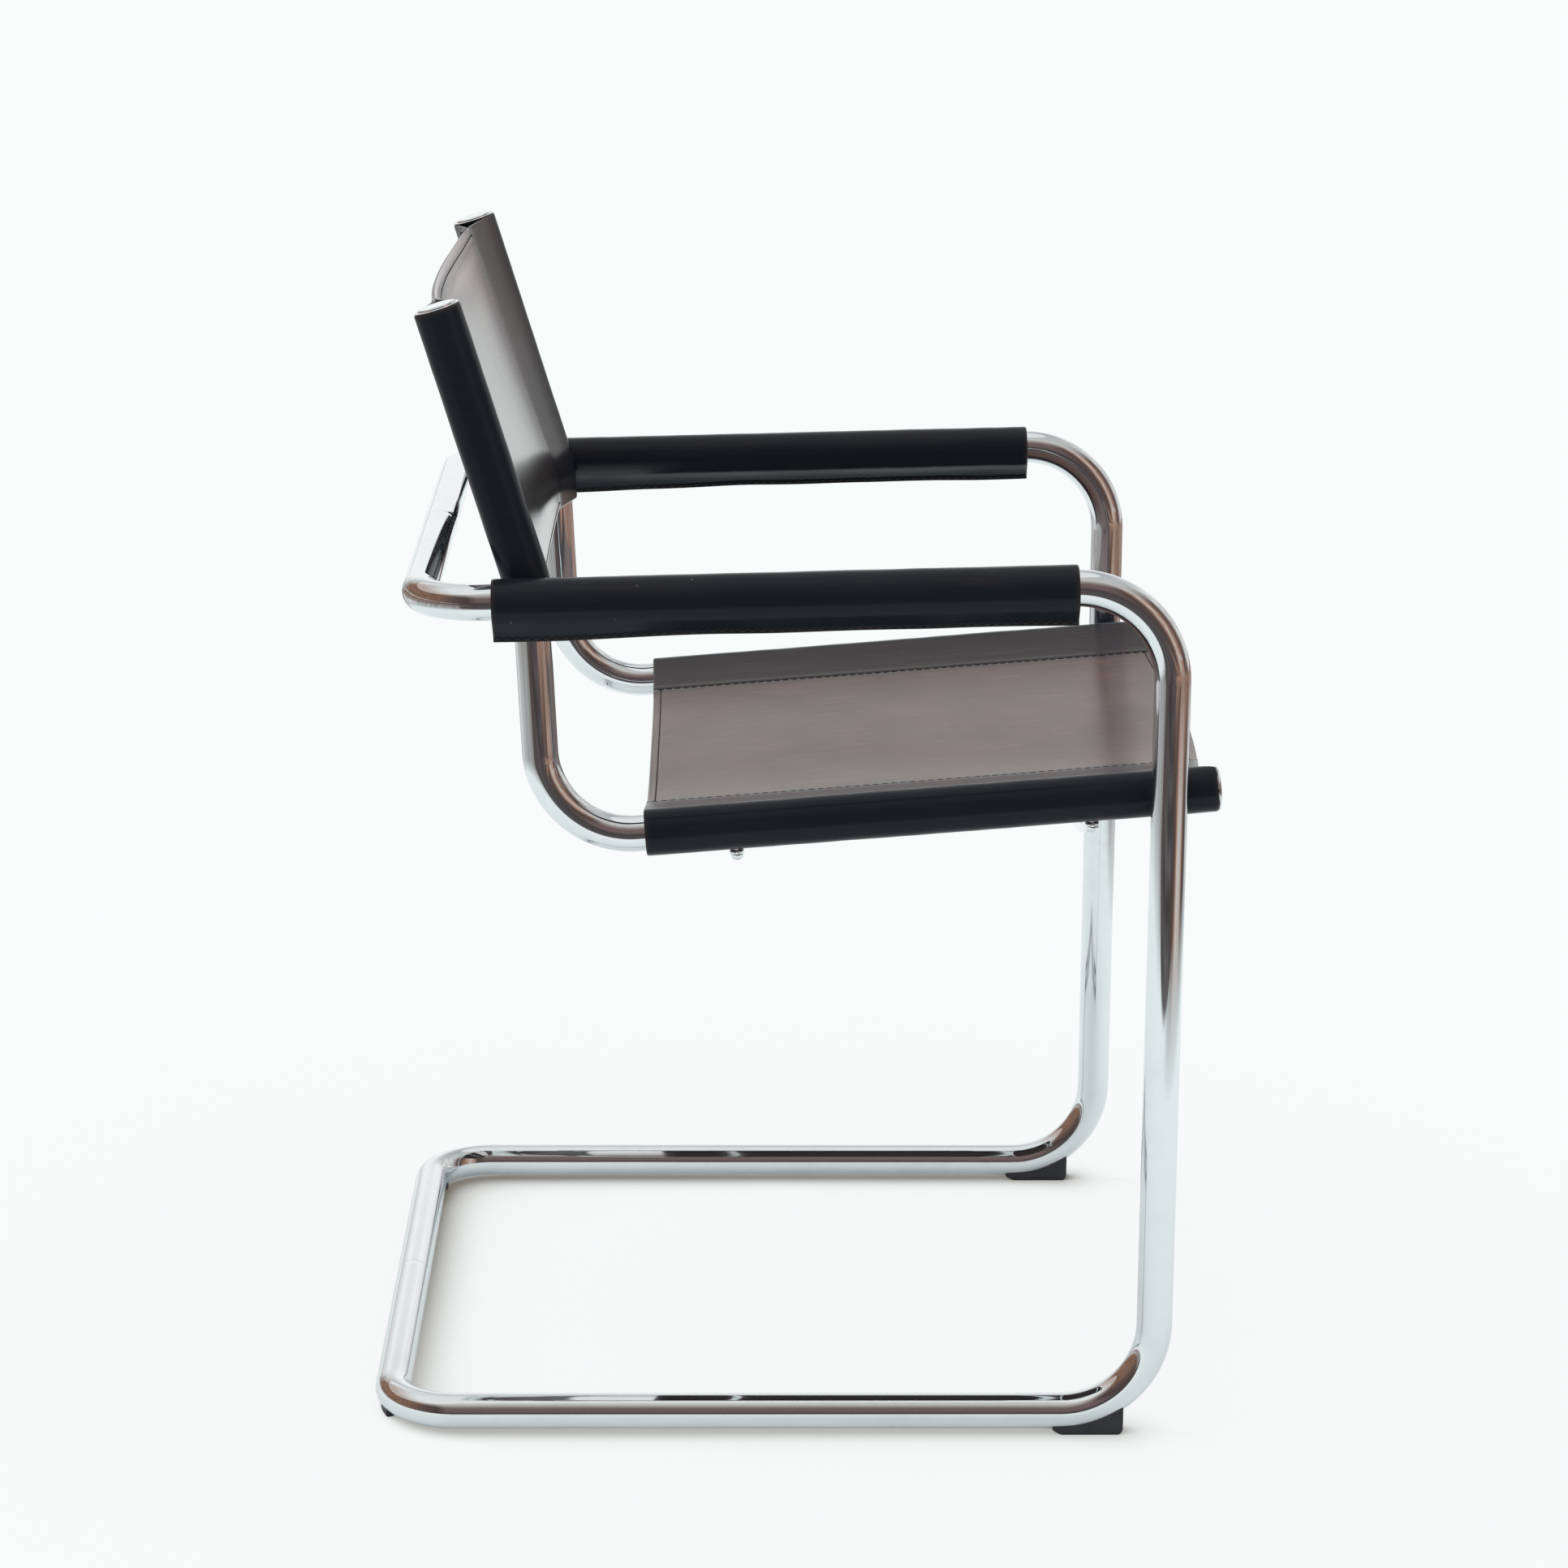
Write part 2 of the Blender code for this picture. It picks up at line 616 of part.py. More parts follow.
def make_caps(finishes):
    """Domed plugs in the front ends of the rails and the tops of the posts."""
    plug = BORE_RADIUS * math.cos(math.pi / TUBE_SIDES) - CLEARANCE
    rim = TUNNEL_OUTER - CAP_INSET
    profile = [(plug * 0.9, -CAP_PLUG_LENGTH), (plug, -CAP_PLUG_LENGTH * 0.85), (plug, CLEARANCE), (rim, CLEARANCE)]
    for step in range(DOME_STEPS + 1):
        angle = math.pi / 2 * step / DOME_STEPS
        height = CLEARANCE + CAP_RIM + CAP_DOME * math.sin(angle)
        profile.append((rim * max(math.cos(angle), 0.1), height))
    for name, side in SIDES.items():
        path = back_path(side * RAIL_X)
        ends = {"rail_cap": (path[0][0], -path[0][1]), "post_cap": path[-1]}
        for place, (end, outward) in ends.items():
            bm = bmesh.new()
            turned(bm, end, outward, profile, TUBE_SIDES)
            make_object(f"{name}_{place}", bm, finishes["chrome"])


def front_glide_screw(side):
    """Foot of the screw that holds a front glide."""
    back = FRONT_GLIDE_SETBACK + FRONT_GLIDE_LENGTH - GLIDE_SCREW_REAR_EDGE
    return Vector((side * FRAME_X, LEG_Y + back, 0))


def on_corner(side, angle, radius):
    """Floor point at an angle round a rear corner of the sled, from the floor bar towards the runner.

    A negative angle goes on straight along the floor bar, as far as its arc would be.
    """
    turn, straight = max(angle, 0), min(angle, 0) * CORNER_BEND_RADIUS
    centre = Vector((side * (FRAME_X - CORNER_BEND_RADIUS + straight), FLOOR_BAR_Y - CORNER_BEND_RADIUS, 0))
    return centre + Vector((side * math.sin(turn), math.cos(turn), 0)) * radius


def rear_glide_screw(side):
    """Foot of the screw that holds a rear glide."""
    return on_corner(side, (REAR_GLIDE_START + REAR_GLIDE_END) / 2, CORNER_BEND_RADIUS)


def front_glide_rings(side):
    """Both side faces of a front glide, which fills the space under the bend of the tube."""
    front, rear = LEG_Y + FRONT_GLIDE_SETBACK, LEG_Y + FRONT_GLIDE_SETBACK + FRONT_GLIDE_LENGTH
    lift = SIDE_BEND_RADIUS - math.sqrt(
        (SIDE_BEND_RADIUS + TUBE_RADIUS) ** 2 - (SIDE_BEND_RADIUS - FRONT_GLIDE_SETBACK) ** 2)
    outline = [
        (front, GLIDE_CHAMFER / 2),
        (front + GLIDE_CHAMFER / 2, 0),
        (rear - 2 * GLIDE_CHAMFER, 0),
        (rear, GLIDE_CHAMFER),
        (rear, RUNNER_Z),
        (front, RUNNER_Z + lift + TUBE_RADIUS),
    ]
    faces = (side * FRAME_X - GLIDE_WIDTH / 2, side * FRAME_X + GLIDE_WIDTH / 2)
    return [[Vector((x, y, z)) for y, z in outline] for x in faces]


def rear_glide_rings(side):
    """Sections of a rear glide, which follows the corner of the sled."""
    steps = max(2, math.ceil((REAR_GLIDE_END - REAR_GLIDE_START) / BEND_STEP))
    rings = []
    for step in range(steps + 1):
        angle = REAR_GLIDE_START + (REAR_GLIDE_END - REAR_GLIDE_START) * step / steps
        inner = on_corner(side, angle, CORNER_BEND_RADIUS - GLIDE_WIDTH / 2)
        outer = on_corner(side, angle, CORNER_BEND_RADIUS + GLIDE_WIDTH / 2)
        top = Vector((0, 0, RUNNER_Z))
        rings.append([inner, outer, outer + top, inner + top])
    return rings


def make_glides(finishes, cores):
    """Four plastic glides, each shaped to the tube above it and held by a countersunk screw."""
    up = Vector((0, 0, 1))
    head, shank = GLIDE_SCREW_HEAD / 2, GLIDE_SCREW_DIAMETER / 2
    neck = GLIDE_SCREW_RECESS + head - shank
    screw = [(head, GLIDE_SCREW_RECESS), (shank, neck), (shank, GLIDE_SCREW_RECESS + GLIDE_SCREW_LENGTH)]
    wide, narrow = hole_radius(GLIDE_SCREW_HEAD), hole_radius(GLIDE_SCREW_DIAMETER)
    sink = [(wide, -GLIDE_LIFT), (wide, GLIDE_SCREW_RECESS), (narrow, neck), (narrow, 2 * RUNNER_Z)]
    for name, side in SIDES.items():
        shapes = {
            "front": (front_glide_rings(side), front_glide_screw(side)),
            "rear": (rear_glide_rings(side), rear_glide_screw(side)),
        }
        for place, (rings, foot) in shapes.items():
            label = f"{name}_{place}_glide"
            bm = bmesh.new()
            loft(bm, rings)
            glide = make_object(label, bm, finishes["black_plastic"])
            cut(glide, cores[name + "_frame"])
            bm = bmesh.new()
            turned(bm, foot, up, sink, SCREW_SIDES)
            cut(glide, make_cutter("sink_in_" + label, bm))
            bm = bmesh.new()
            turned(bm, foot, up, screw, SCREW_SIDES)
            make_object(label + "_screw", bm, finishes["zinc"])


def make_slings(finishes):
    """Seat and back, each one sheet of leather sewn round both inner tubes."""
    path = back_path(0)
    joint = joint_distance(path)
    runs = {
        "seat_sling": (
            stretch_of(path, 0, rail_end(path) - SLING_TO_BEND),
            SEAT_SAG, SEAT_SAG, SEAT_SAG_POWER, SEAT_STITCH_INSET, leg_joint()),
        "back_sling": (
            stretch_of(path, joint - BACK_DROP, distances(path)[-1]),
            BACK_LOW_SAG, BACK_TOP_SAG, BACK_SAG_POWER, BACK_STITCH_INSET, arm_joint()),
    }
    for name, (run, first_sag, last_sag, power, stitch_inset, joint_point) in runs.items():
        along = distances(run)
        stations = []
        for (point, direction), distance in zip(run, along):
            sag = first_sag + (last_sag - first_sag) * distance / along[-1]
            section = sling_section(sag, power, stitch_inset)
            shifts = [0] * len(section)
            if name == "seat_sling" and distance == 0:
                shifts = sheet_trim(section, SEAT_FRONT_TRIM, 0)
            if name == "back_sling" and distance == along[-1]:
                shifts = [-trim for trim in sheet_trim(section, 0, BACK_TOP_DIP)]
            stations.append((point, sitter_side(direction), section, shifts))
        sling = make_leather(name, stations, finishes["leather"])
        holes = []
        for side in SIDES.values():
            outside = ACROSS * side * (RAIL_X + TUNNEL_RADIUS)
            holes.append((joint_point + outside, ACROSS, hole_radius(SPACER_DIAMETER), 2 * TUNNEL_RADIUS))
            if name == "seat_sling":
                holes += tab_screw_holes(path, side)
        drill(sling, holes)


def tab_screw_holes(path, side):
    """Holes in the underside of a seat tunnel for the spreader screws."""
    holes = []
    for setback in (FRONT_SPREADER_SETBACK, REAR_SPREADER_SETBACK):
        point, direction = place_on(path, along_rail(setback))
        up = sitter_side(direction)
        centre = point + ACROSS * side * RAIL_X - up * TUNNEL_RADIUS
        holes.append((centre, up, hole_radius(TAB_SCREW_DIAMETER), 2 * TUNNEL_RADIUS))
    return holes


def make_arm_sleeves(finishes):
    """Leather sleeves on the straight part of both arms."""
    backward = Vector((0, math.cos(ARM_FALL), -math.sin(ARM_FALL)))
    upward = Vector((0, math.sin(ARM_FALL), math.cos(ARM_FALL)))
    front = Vector((0, LEG_Y, ARM_HEIGHT))
    front += backward * (SIDE_BEND_RADIUS * math.tan((math.pi / 2 + ARM_FALL) / 2) - SLEEVE_FRONT_REACH)
    rear = arm_joint() + backward * (ARM_TAIL - SLEEVE_REAR_INSET)
    radius = TUBE_RADIUS + SLEEVE_PLAY + LEATHER
    for name, side in SIDES.items():
        section = sleeve_section()
        no_shift = [0] * len(section)
        stations = [(end + ACROSS * side * FRAME_X, upward, section, no_shift) for end in (front, rear)]
        sleeve = make_leather(name + "_arm_sleeve", stations, finishes["leather"])
        centre = arm_joint() + ACROSS * side * (FRAME_X - radius)
        drill(sleeve, [(centre, ACROSS, hole_radius(SPACER_DIAMETER), 2 * radius)])


def main():
    """Build the chair."""
    for old in list(bpy.data.objects):
        bpy.data.objects.remove(old, do_unlink=True)
    finishes = make_finishes()
    cores = {}
    make_frame(finishes, cores)
    make_back_tubes(finishes, cores)
    make_side_joints(finishes, cores)
    make_spreaders(finishes)
    make_caps(finishes)
    make_glides(finishes, cores)
    make_slings(finishes)
    make_arm_sleeves(finishes)


main()
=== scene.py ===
"""Finished look of a cantilever armchair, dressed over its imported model.

Metres, +Z up. The chair faces -Y and stands on z = 0, and the sitter's left is +X.
Tubes, stitches, caps and screws come from Geometry Nodes. Leather is laid out in mesh code.
"""
import bisect
import math

import bmesh
import bpy
from mathutils import Matrix, Vector, noise


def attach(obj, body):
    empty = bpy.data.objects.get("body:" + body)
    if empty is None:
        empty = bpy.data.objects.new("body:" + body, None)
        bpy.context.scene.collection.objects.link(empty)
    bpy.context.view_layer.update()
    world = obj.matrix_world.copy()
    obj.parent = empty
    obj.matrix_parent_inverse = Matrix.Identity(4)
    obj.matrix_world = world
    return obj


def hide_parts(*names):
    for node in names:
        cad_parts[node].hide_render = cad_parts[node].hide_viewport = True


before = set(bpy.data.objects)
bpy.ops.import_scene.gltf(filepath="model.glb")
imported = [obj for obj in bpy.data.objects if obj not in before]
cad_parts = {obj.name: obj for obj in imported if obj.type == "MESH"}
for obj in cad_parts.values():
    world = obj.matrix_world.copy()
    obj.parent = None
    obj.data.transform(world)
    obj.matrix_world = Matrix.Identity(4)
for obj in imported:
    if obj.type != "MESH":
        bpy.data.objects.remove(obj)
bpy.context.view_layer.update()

# Steel tube, as in the part's source
TUBE_DIAMETER = 0.025
FRAME_WIDTH = 0.525
BASE_LENGTH = 0.541
ARM_HEIGHT = 0.6135
ARM_FALL = math.radians(1.6)
ARM_TAIL = 0.027
SIDE_BEND_RADIUS = 0.066
CORNER_BEND_RADIUS = 0.048
SEAT_HEIGHT = 0.460
SEAT_FALL = math.radians(4.7)
RAIL_OVERHANG = 0.036
BACK_SETBACK = 0.4375
UPRIGHT_LEAN = math.radians(3.0)
POST_LEAN = math.radians(17.4)
POST_LENGTH = 0.2025
SEAT_BEND_RADIUS = 0.062
POST_BEND_RADIUS = 0.090

# Leather, as in the part's source
LEATHER = 0.003
SLEEVE_PLAY = 0.0015
SEAT_FRONT_TRIM = 0.012
BACK_TOP_DIP = 0.005
SEAT_STITCH_INSET = 0.060
BACK_STITCH_INSET = 0.050
FLAP_MARGIN = 0.007
SLING_TO_BEND = 0.006
BACK_DROP = 0.028
SLEEVE_FRONT_REACH = 0.0025
SLEEVE_REAR_INSET = 0.0035
SEAM_DROP = 0.025

# Small parts, as in the part's source
SPREADER_SETBACKS = {"front": 0.051, "rear": 0.297}
SPREADER_ROD = 0.008
SPREADER_BOW = 0.045
TAB_WIDTH = 0.010
TAB_THICKNESS = 0.003
TAB_LENGTH = 0.016
TAB_HEAD_DIAMETER = 0.009
TAB_HEAD_HEIGHT = 0.005
CAP_RIM = 0.0006
CAP_DOME = 0.002
CAP_INSET = 0.0008
GLIDE_LIFT = 0.0025
GLIDE_WIDTH = 0.018
FRONT_GLIDE_LENGTH = 0.050
FRONT_GLIDE_SETBACK = 0.021
REAR_GLIDE_START = math.radians(-20)
REAR_GLIDE_END = math.radians(25)
CLEARANCE = 0.0003

# Worked out in the part's source, to a tenth of a millimetre
RAIL_X = 0.2285
TUNNEL_RADIUS = 0.0148
TUNNEL_OUTER = 0.0163

# Worked out from the sizes above
TUBE_RADIUS = TUBE_DIAMETER / 2
FRAME_X = FRAME_WIDTH / 2
RUNNER_Z = GLIDE_LIFT + TUBE_RADIUS
FRONT_REACH = RAIL_OVERHANG + (CLEARANCE + CAP_RIM + CAP_DOME) * math.cos(SEAT_FALL)
LEG_Y = (FRONT_REACH - BASE_LENGTH - TUBE_RADIUS) / 2
FLOOR_BAR_Y = LEG_Y + BASE_LENGTH

# Finer shapes of the small parts. The groove gives places along a bar, with their share of its radius
JOINT_GROOVE = ((-0.0005, 1.0), (-0.0002, 0.999), (0.0, 0.994), (0.0002, 0.999), (0.0005, 1.0))
CAP_PLUG = ((0, -0.006), (0.0095, -0.006), (0.0098, CLEARANCE))
CAP_EDGE = 0.0003
CAP_BORDER = 0.0022
CAP_WALL = 0.0011
SCREW_SHANK = 0.004
SCREW_EDGE = 0.0006
FRONT_GLIDE_HEEL = (0.006, 0.0032)
FRONT_GLIDE_ROUNDING = [0.0045, 0.006, 0.0025]
FRONT_GLIDE_TOP = TUBE_RADIUS * 0.55
FRONT_GLIDE_EDGE = 0.0009
REAR_GLIDE_EDGE = 0.0018

# Slings, pairs from start to end: stitch lines over the plane of the tubes, sag between them, and wear
SEAT_STITCH_HEIGHTS = (0.0040, 0.0040)
SEAT_SAGS = (0.0047, 0.0047)
SEAT_SAG_POWER = 4
SEAT_WEAR = (1.0, 1.0)
BACK_STITCH_HEIGHTS = (0.0030, -0.0025)
BACK_SAGS = (0.0014, 0.0110)
BACK_SAG_POWER = 2
BACK_WEAR = (0.25, 1.0)
BACK_TOP_RISE = 0.0018
SAG_FADE = 7
BLACK_WEAR = 0.04
BAND_WEAR = 0.2
INNER_WEAR = 0.3

# Gloss and unevenness of the hide. Waves are given as (height, size)
SEAT_GLOSS = 0.22
BACK_GLOSS = 1.0
SLEEVE_GLOSS = 0.8
SHEET_WAVES = ((0.00015, 0.07),)
TUNNEL_WAVES = SHEET_WAVES + ((0.0002, 0.016),)
SLEEVE_WAVES = ((0.0002, 0.035), (0.00015, 0.014))

# Sewing
STITCH_PITCH = 0.0065
STITCH_LENGTH = 0.0050
THREAD = 0.0011
THREAD_LIFT = 0.15
BACK_THREAD_LIFT = -0.35
HEM_INSET = 0.0060
HEM_FOLD = 0.0100
SLEEVE_STITCH_INSET = 0.0030
SEAM_HEIGHT = 0.0040
SEAM_STITCH_RISE = 0.0020
SEAM_WAVE = 0.0009
SEAM_SWING = 0.0011
SEAM_SAG = 0.0022
SEAT_SEAM_EASE = 0.0035
BACK_SEAM_EASE = 0.0060
SEAT_SEAM_PULL = 0.0003
BACK_SEAM_PULL = 0.0001

# How fine the finished pieces are
TUBE_SIDES = 64
TURNED_SIDES = 48
ROD_SIDES = 24
CAP_STEPS = 12
BEND_STEP = math.radians(3)
RUN_STEP = 0.015
LEATHER_STEP = 0.006
SHEET_STEPS = 28
BAND_STEPS = 12
TUNNEL_STEPS = 44
EDGE_STEPS = (0.0, 0.0003, 0.0008, 0.0016, SLEEVE_STITCH_INSET, 0.0045, HEM_INSET,
              0.0065, 0.008, 0.0098, 0.0101, 0.0125)

# Surfaces, camera and stage
RELIEF = 0.0001
CAMERA_PLACE = Vector((-3.146, 0.051, 1.238))
CAMERA_YAW = math.radians(-0.89)
CAMERA_PITCH = math.radians(14.83)
CAMERA_ROLL = math.radians(0.32)
FOCAL_PIXELS = 5391
PHOTO_PIXELS = 1932
SENSOR = 36.0
FLOOR_REACH = 60.0

ACROSS = Vector((1, 0, 0))
UP = Vector((0, 0, 1))
SIDES = {"left": 1, "right": -1}


# Node building

def add_node(tree, kind, inputs=None, **settings):
    """New node with its settings. An input is given a value, or linked when it is given a socket."""
    node = tree.nodes.new(kind)
    for name, value in settings.items():
        setattr(node, name, value)
    for name, value in (inputs or {}).items():
        if isinstance(value, bpy.types.NodeSocket):
            tree.links.new(value, node.inputs[name])
        else:
            node.inputs[name].default_value = value
    return node


def maths(tree, operation, first, second=0.0):
    """Output of one Math node."""
    return add_node(tree, "ShaderNodeMath", {0: first, 1: second}, operation=operation).outputs[0]


def product(tree, *factors):
    """Output of the Math nodes that multiply the factors."""
    total = factors[0]
    for factor in factors[1:]:
        total = maths(tree, "MULTIPLY", total, factor)
    return total


def rescaled(tree, value, low, high, to_low, to_high):
    """Output of a clamped Map Range node."""
    inputs = {"Value": value, "From Min": low, "From Max": high, "To Min": to_low, "To Max": to_high}
    return add_node(tree, "ShaderNodeMapRange", inputs).outputs[0]


def mixed_colour(tree, share, first, second):
    """Output of a colour Mix node."""
    return add_node(tree, "ShaderNodeMix", {0: share, 6: first, 7: second}, data_type="RGBA").outputs[2]


def noise_value(tree, coordinates, scale, detail=4.0, roughness=0.55):
    """Output of a Noise node."""
    inputs = {"Vector": coordinates, "Scale": scale, "Detail": detail, "Roughness": roughness}
    return add_node(tree, "ShaderNodeTexNoise", inputs).outputs["Fac"]


def ramp_colour(tree, place, stops):
    """Output of a colour ramp through (position, colour) stops."""
    node = add_node(tree, "ShaderNodeValToRGB", {"Fac": place})
    elements = node.color_ramp.elements
    while len(elements) < len(stops):
        elements.new(0.5)
    for element, (position, colour) in zip(elements, stops):
        element.position = position
        element.color = (*colour, 1)
    return node.outputs["Color"]


def new_tree(name, kind, inputs, outputs):
    """Node group with named sockets. Returns the tree, its input sockets and its output node."""
    tree = bpy.data.node_groups.new(name, kind)
    for label, (socket, value) in inputs.items():
        made = tree.interface.new_socket(label, in_out="INPUT", socket_type=socket)
        if value is not None:
            made.default_value = value
    for label, socket in outputs.items():
        tree.interface.new_socket(label, in_out="OUTPUT", socket_type=socket)
    return tree, tree.nodes.new("NodeGroupInput").outputs, tree.nodes.new("NodeGroupOutput")


# Shared surface effects

def soiling_group():
    """Cloudy patches of dust, finger marks and dulling."""
    tree, given, result = new_tree("soiling", "ShaderNodeTree", {
        "Coordinates": ("NodeSocketVector", None),
        "Patch Size": ("NodeSocketFloat", 0.05),
        "Amount": ("NodeSocketFloat", 0.5),
    }, {"Mask": "NodeSocketFloat"})
    scale = maths(tree, "DIVIDE", 1.0, given["Patch Size"])
    clouds = rescaled(tree, noise_value(tree, given["Coordinates"], scale, 5.0, 0.6), 0.42, 0.72, 0.0, 1.0)
    finer = noise_value(tree, given["Coordinates"], product(tree, scale, 9.0), 3.0)
    speckle = rescaled(tree, finer, 0.35, 0.7, 0.35, 1.0)
    tree.links.new(product(tree, clouds, speckle, given["Amount"]), result.inputs["Mask"])
    return tree


def grain_group():
    """Pebbled grain: small cells with softened borders over finer noise."""
    tree, given, result = new_tree("grain", "ShaderNodeTree", {
        "Coordinates": ("NodeSocketVector", None),
        "Cell Size": ("NodeSocketFloat", 0.001),
    }, {"Height": "NodeSocketFloat"})
    scale = maths(tree, "DIVIDE", 1.0, given["Cell Size"])
    warp = noise_value(tree, given["Coordinates"], product(tree, scale, 0.6), 2.0)
    cells = add_node(tree, "ShaderNodeTexVoronoi", {
        "Vector": given["Coordinates"], "Scale": scale, "Randomness": 1.0}, feature="SMOOTH_F1")
    height = product(tree, cells.outputs["Distance"], -0.8)
    tree.links.new(maths(tree, "ADD", height, warp), result.inputs["Height"])
    return tree


def hairline_group():
    """Fine straight rub marks along one direction."""
    tree, given, result = new_tree("hairlines", "ShaderNodeTree", {
        "Coordinates": ("NodeSocketVector", None),
        "Stretch": ("NodeSocketVector", (1.0, 1.0, 1.0)),
        "Share": ("NodeSocketFloat", 0.3),
    }, {"Mask": "NodeSocketFloat"})
    stretched = add_node(tree, "ShaderNodeVectorMath", {
        0: given["Coordinates"], 1: given["Stretch"]}, operation="MULTIPLY").outputs[0]
    lines = noise_value(tree, stretched, 1.0, 3.0, 0.7)
    start = maths(tree, "SUBTRACT", 0.85, product(tree, given["Share"], 0.5))
    marks = rescaled(tree, lines, start, maths(tree, "ADD", start, 0.12), 0.0, 1.0)
    tree.links.new(marks, result.inputs["Mask"])
    return tree


def scuff_group():
    """A few small nicks and scuffs, set far apart."""
    tree, given, result = new_tree("scuffs", "ShaderNodeTree", {
        "Coordinates": ("NodeSocketVector", None),
        "Spacing": ("NodeSocketFloat", 0.03),
        "Size": ("NodeSocketFloat", 0.001),
    }, {"Mask": "NodeSocketFloat"})
    ragged = add_node(tree, "ShaderNodeTexNoise", {
        "Vector": given["Coordinates"], "Scale": 900.0}).outputs["Color"]
    shift = add_node(tree, "ShaderNodeVectorMath", {0: ragged, "Scale": 0.002}, operation="SCALE").outputs[0]
    place = add_node(tree, "ShaderNodeVectorMath", {0: given["Coordinates"], 1: shift}).outputs[0]
    cells = add_node(tree, "ShaderNodeTexVoronoi", {
        "Vector": place, "Scale": maths(tree, "DIVIDE", 1.0, given["Spacing"])})
    reach = product(tree, cells.outputs["Distance"], given["Spacing"])
    near = rescaled(tree, maths(tree, "DIVIDE", reach, given["Size"]), 0.5, 1.0, 1.0, 0.0)
    chosen = rescaled(tree, cells.outputs["Color"], 0.62, 0.66, 0.0, 1.0)
    tree.links.new(product(tree, near, chosen), result.inputs["Mask"])
    return tree


def side_room_group():
    """Room at both sides of the stage, as glossy surfaces see it in a direction."""
    tree, given, result = new_tree("side_room", "ShaderNodeTree", {
        "Direction": ("NodeSocketVector", None),
    }, {"Colour": "NodeSocketColor", "Mask": "NodeSocketFloat"})
    unit = add_node(tree, "ShaderNodeVectorMath", {0: given["Direction"]}, operation="NORMALIZE").outputs[0]
    parts = add_node(tree, "ShaderNodeSeparateXYZ", {0: unit}).outputs
    to_front = product(tree, parts["Y"], -1.0)
    to_viewer = product(tree, parts["X"], -1.0)
    turn = maths(tree, "DIVIDE", maths(tree, "ARCTAN2", to_front, to_viewer), 2 * math.pi)
    turn = maths(tree, "ADD", turn, 0.5)
    ground = ramp_colour(tree, turn, [
        (0.00, (0.97, 0.98, 0.98)), (0.045, (0.93, 0.94, 0.94)), (0.060, (0.42, 0.42, 0.42)),
        (0.095, (0.42, 0.42, 0.42)), (0.115, (0.93, 0.94, 0.94)), (0.19, (0.93, 0.94, 0.94)),
        (0.25, (0.62, 0.63, 0.63)), (0.33, (0.52, 0.53, 0.53)), (0.385, (0.44, 0.43, 0.42)),
        (0.40, (0.11, 0.09, 0.085)), (0.50, (0.06, 0.05, 0.05)), (0.605, (0.10, 0.07, 0.06)),
        (0.625, (0.50, 0.27, 0.19)), (0.645, (0.80, 0.70, 0.64)), (0.695, (0.74, 0.68, 0.64)),
        (0.715, (0.52, 0.29, 0.20)), (0.735, (0.12, 0.08, 0.07)), (0.78, (0.12, 0.10, 0.10)),
        (0.80, (0.72, 0.72, 0.72)), (0.85, (0.95, 0.96, 0.96)), (0.89, (0.93, 0.94, 0.94)),
        (0.905, (0.36, 0.34, 0.33)), (0.945, (0.36, 0.35, 0.35)), (0.96, (0.95, 0.96, 0.96)),
    ])
    walls = ramp_colour(tree, turn, [
        (0.00, (0.97, 0.98, 0.98)), (0.06, (0.93, 0.94, 0.94)), (0.085, (0.72, 0.66, 0.62)),
        (0.11, (0.34, 0.19, 0.13)), (0.30, (0.28, 0.15, 0.10)), (0.36, (0.13, 0.085, 0.075)),
        (0.42, (0.07, 0.05, 0.05)), (0.60, (0.10, 0.07, 0.06)), (0.63, (0.52, 0.28, 0.20)),
        (0.65, (0.80, 0.70, 0.64)), (0.69, (0.55, 0.30, 0.21)), (0.73, (0.14, 0.09, 0.08)),
        (0.78, (0.20, 0.12, 0.10)), (0.81, (0.72, 0.72, 0.72)), (0.84, (0.97, 0.96, 0.95)),
    ])
    seen = mixed_colour(tree, rescaled(tree, parts["Z"], 0.0, 0.06, 0.0, 1.0), ground, walls)
    place = add_node(tree, "ShaderNodeCombineXYZ", {
        "X": product(tree, turn, 60.0), "Y": product(tree, parts["Z"], 9.0)}).outputs[0]
    lines = rescaled(tree, noise_value(tree, place, 1.0, 3.0), 0.35, 0.68, 0.0, 0.65)
    tree.links.new(mixed_colour(tree, lines, seen, (0.09, 0.065, 0.06, 1)), result.inputs["Colour"])
    aside = rescaled(tree, maths(tree, "ABSOLUTE", parts["Y"]), 0.25, 0.45, 0.0, 1.0)
    low = rescaled(tree, parts["Z"], 0.60, 0.85, 1.0, 0.0)
    tree.links.new(product(tree, aside, low), result.inputs["Mask"])
    return tree


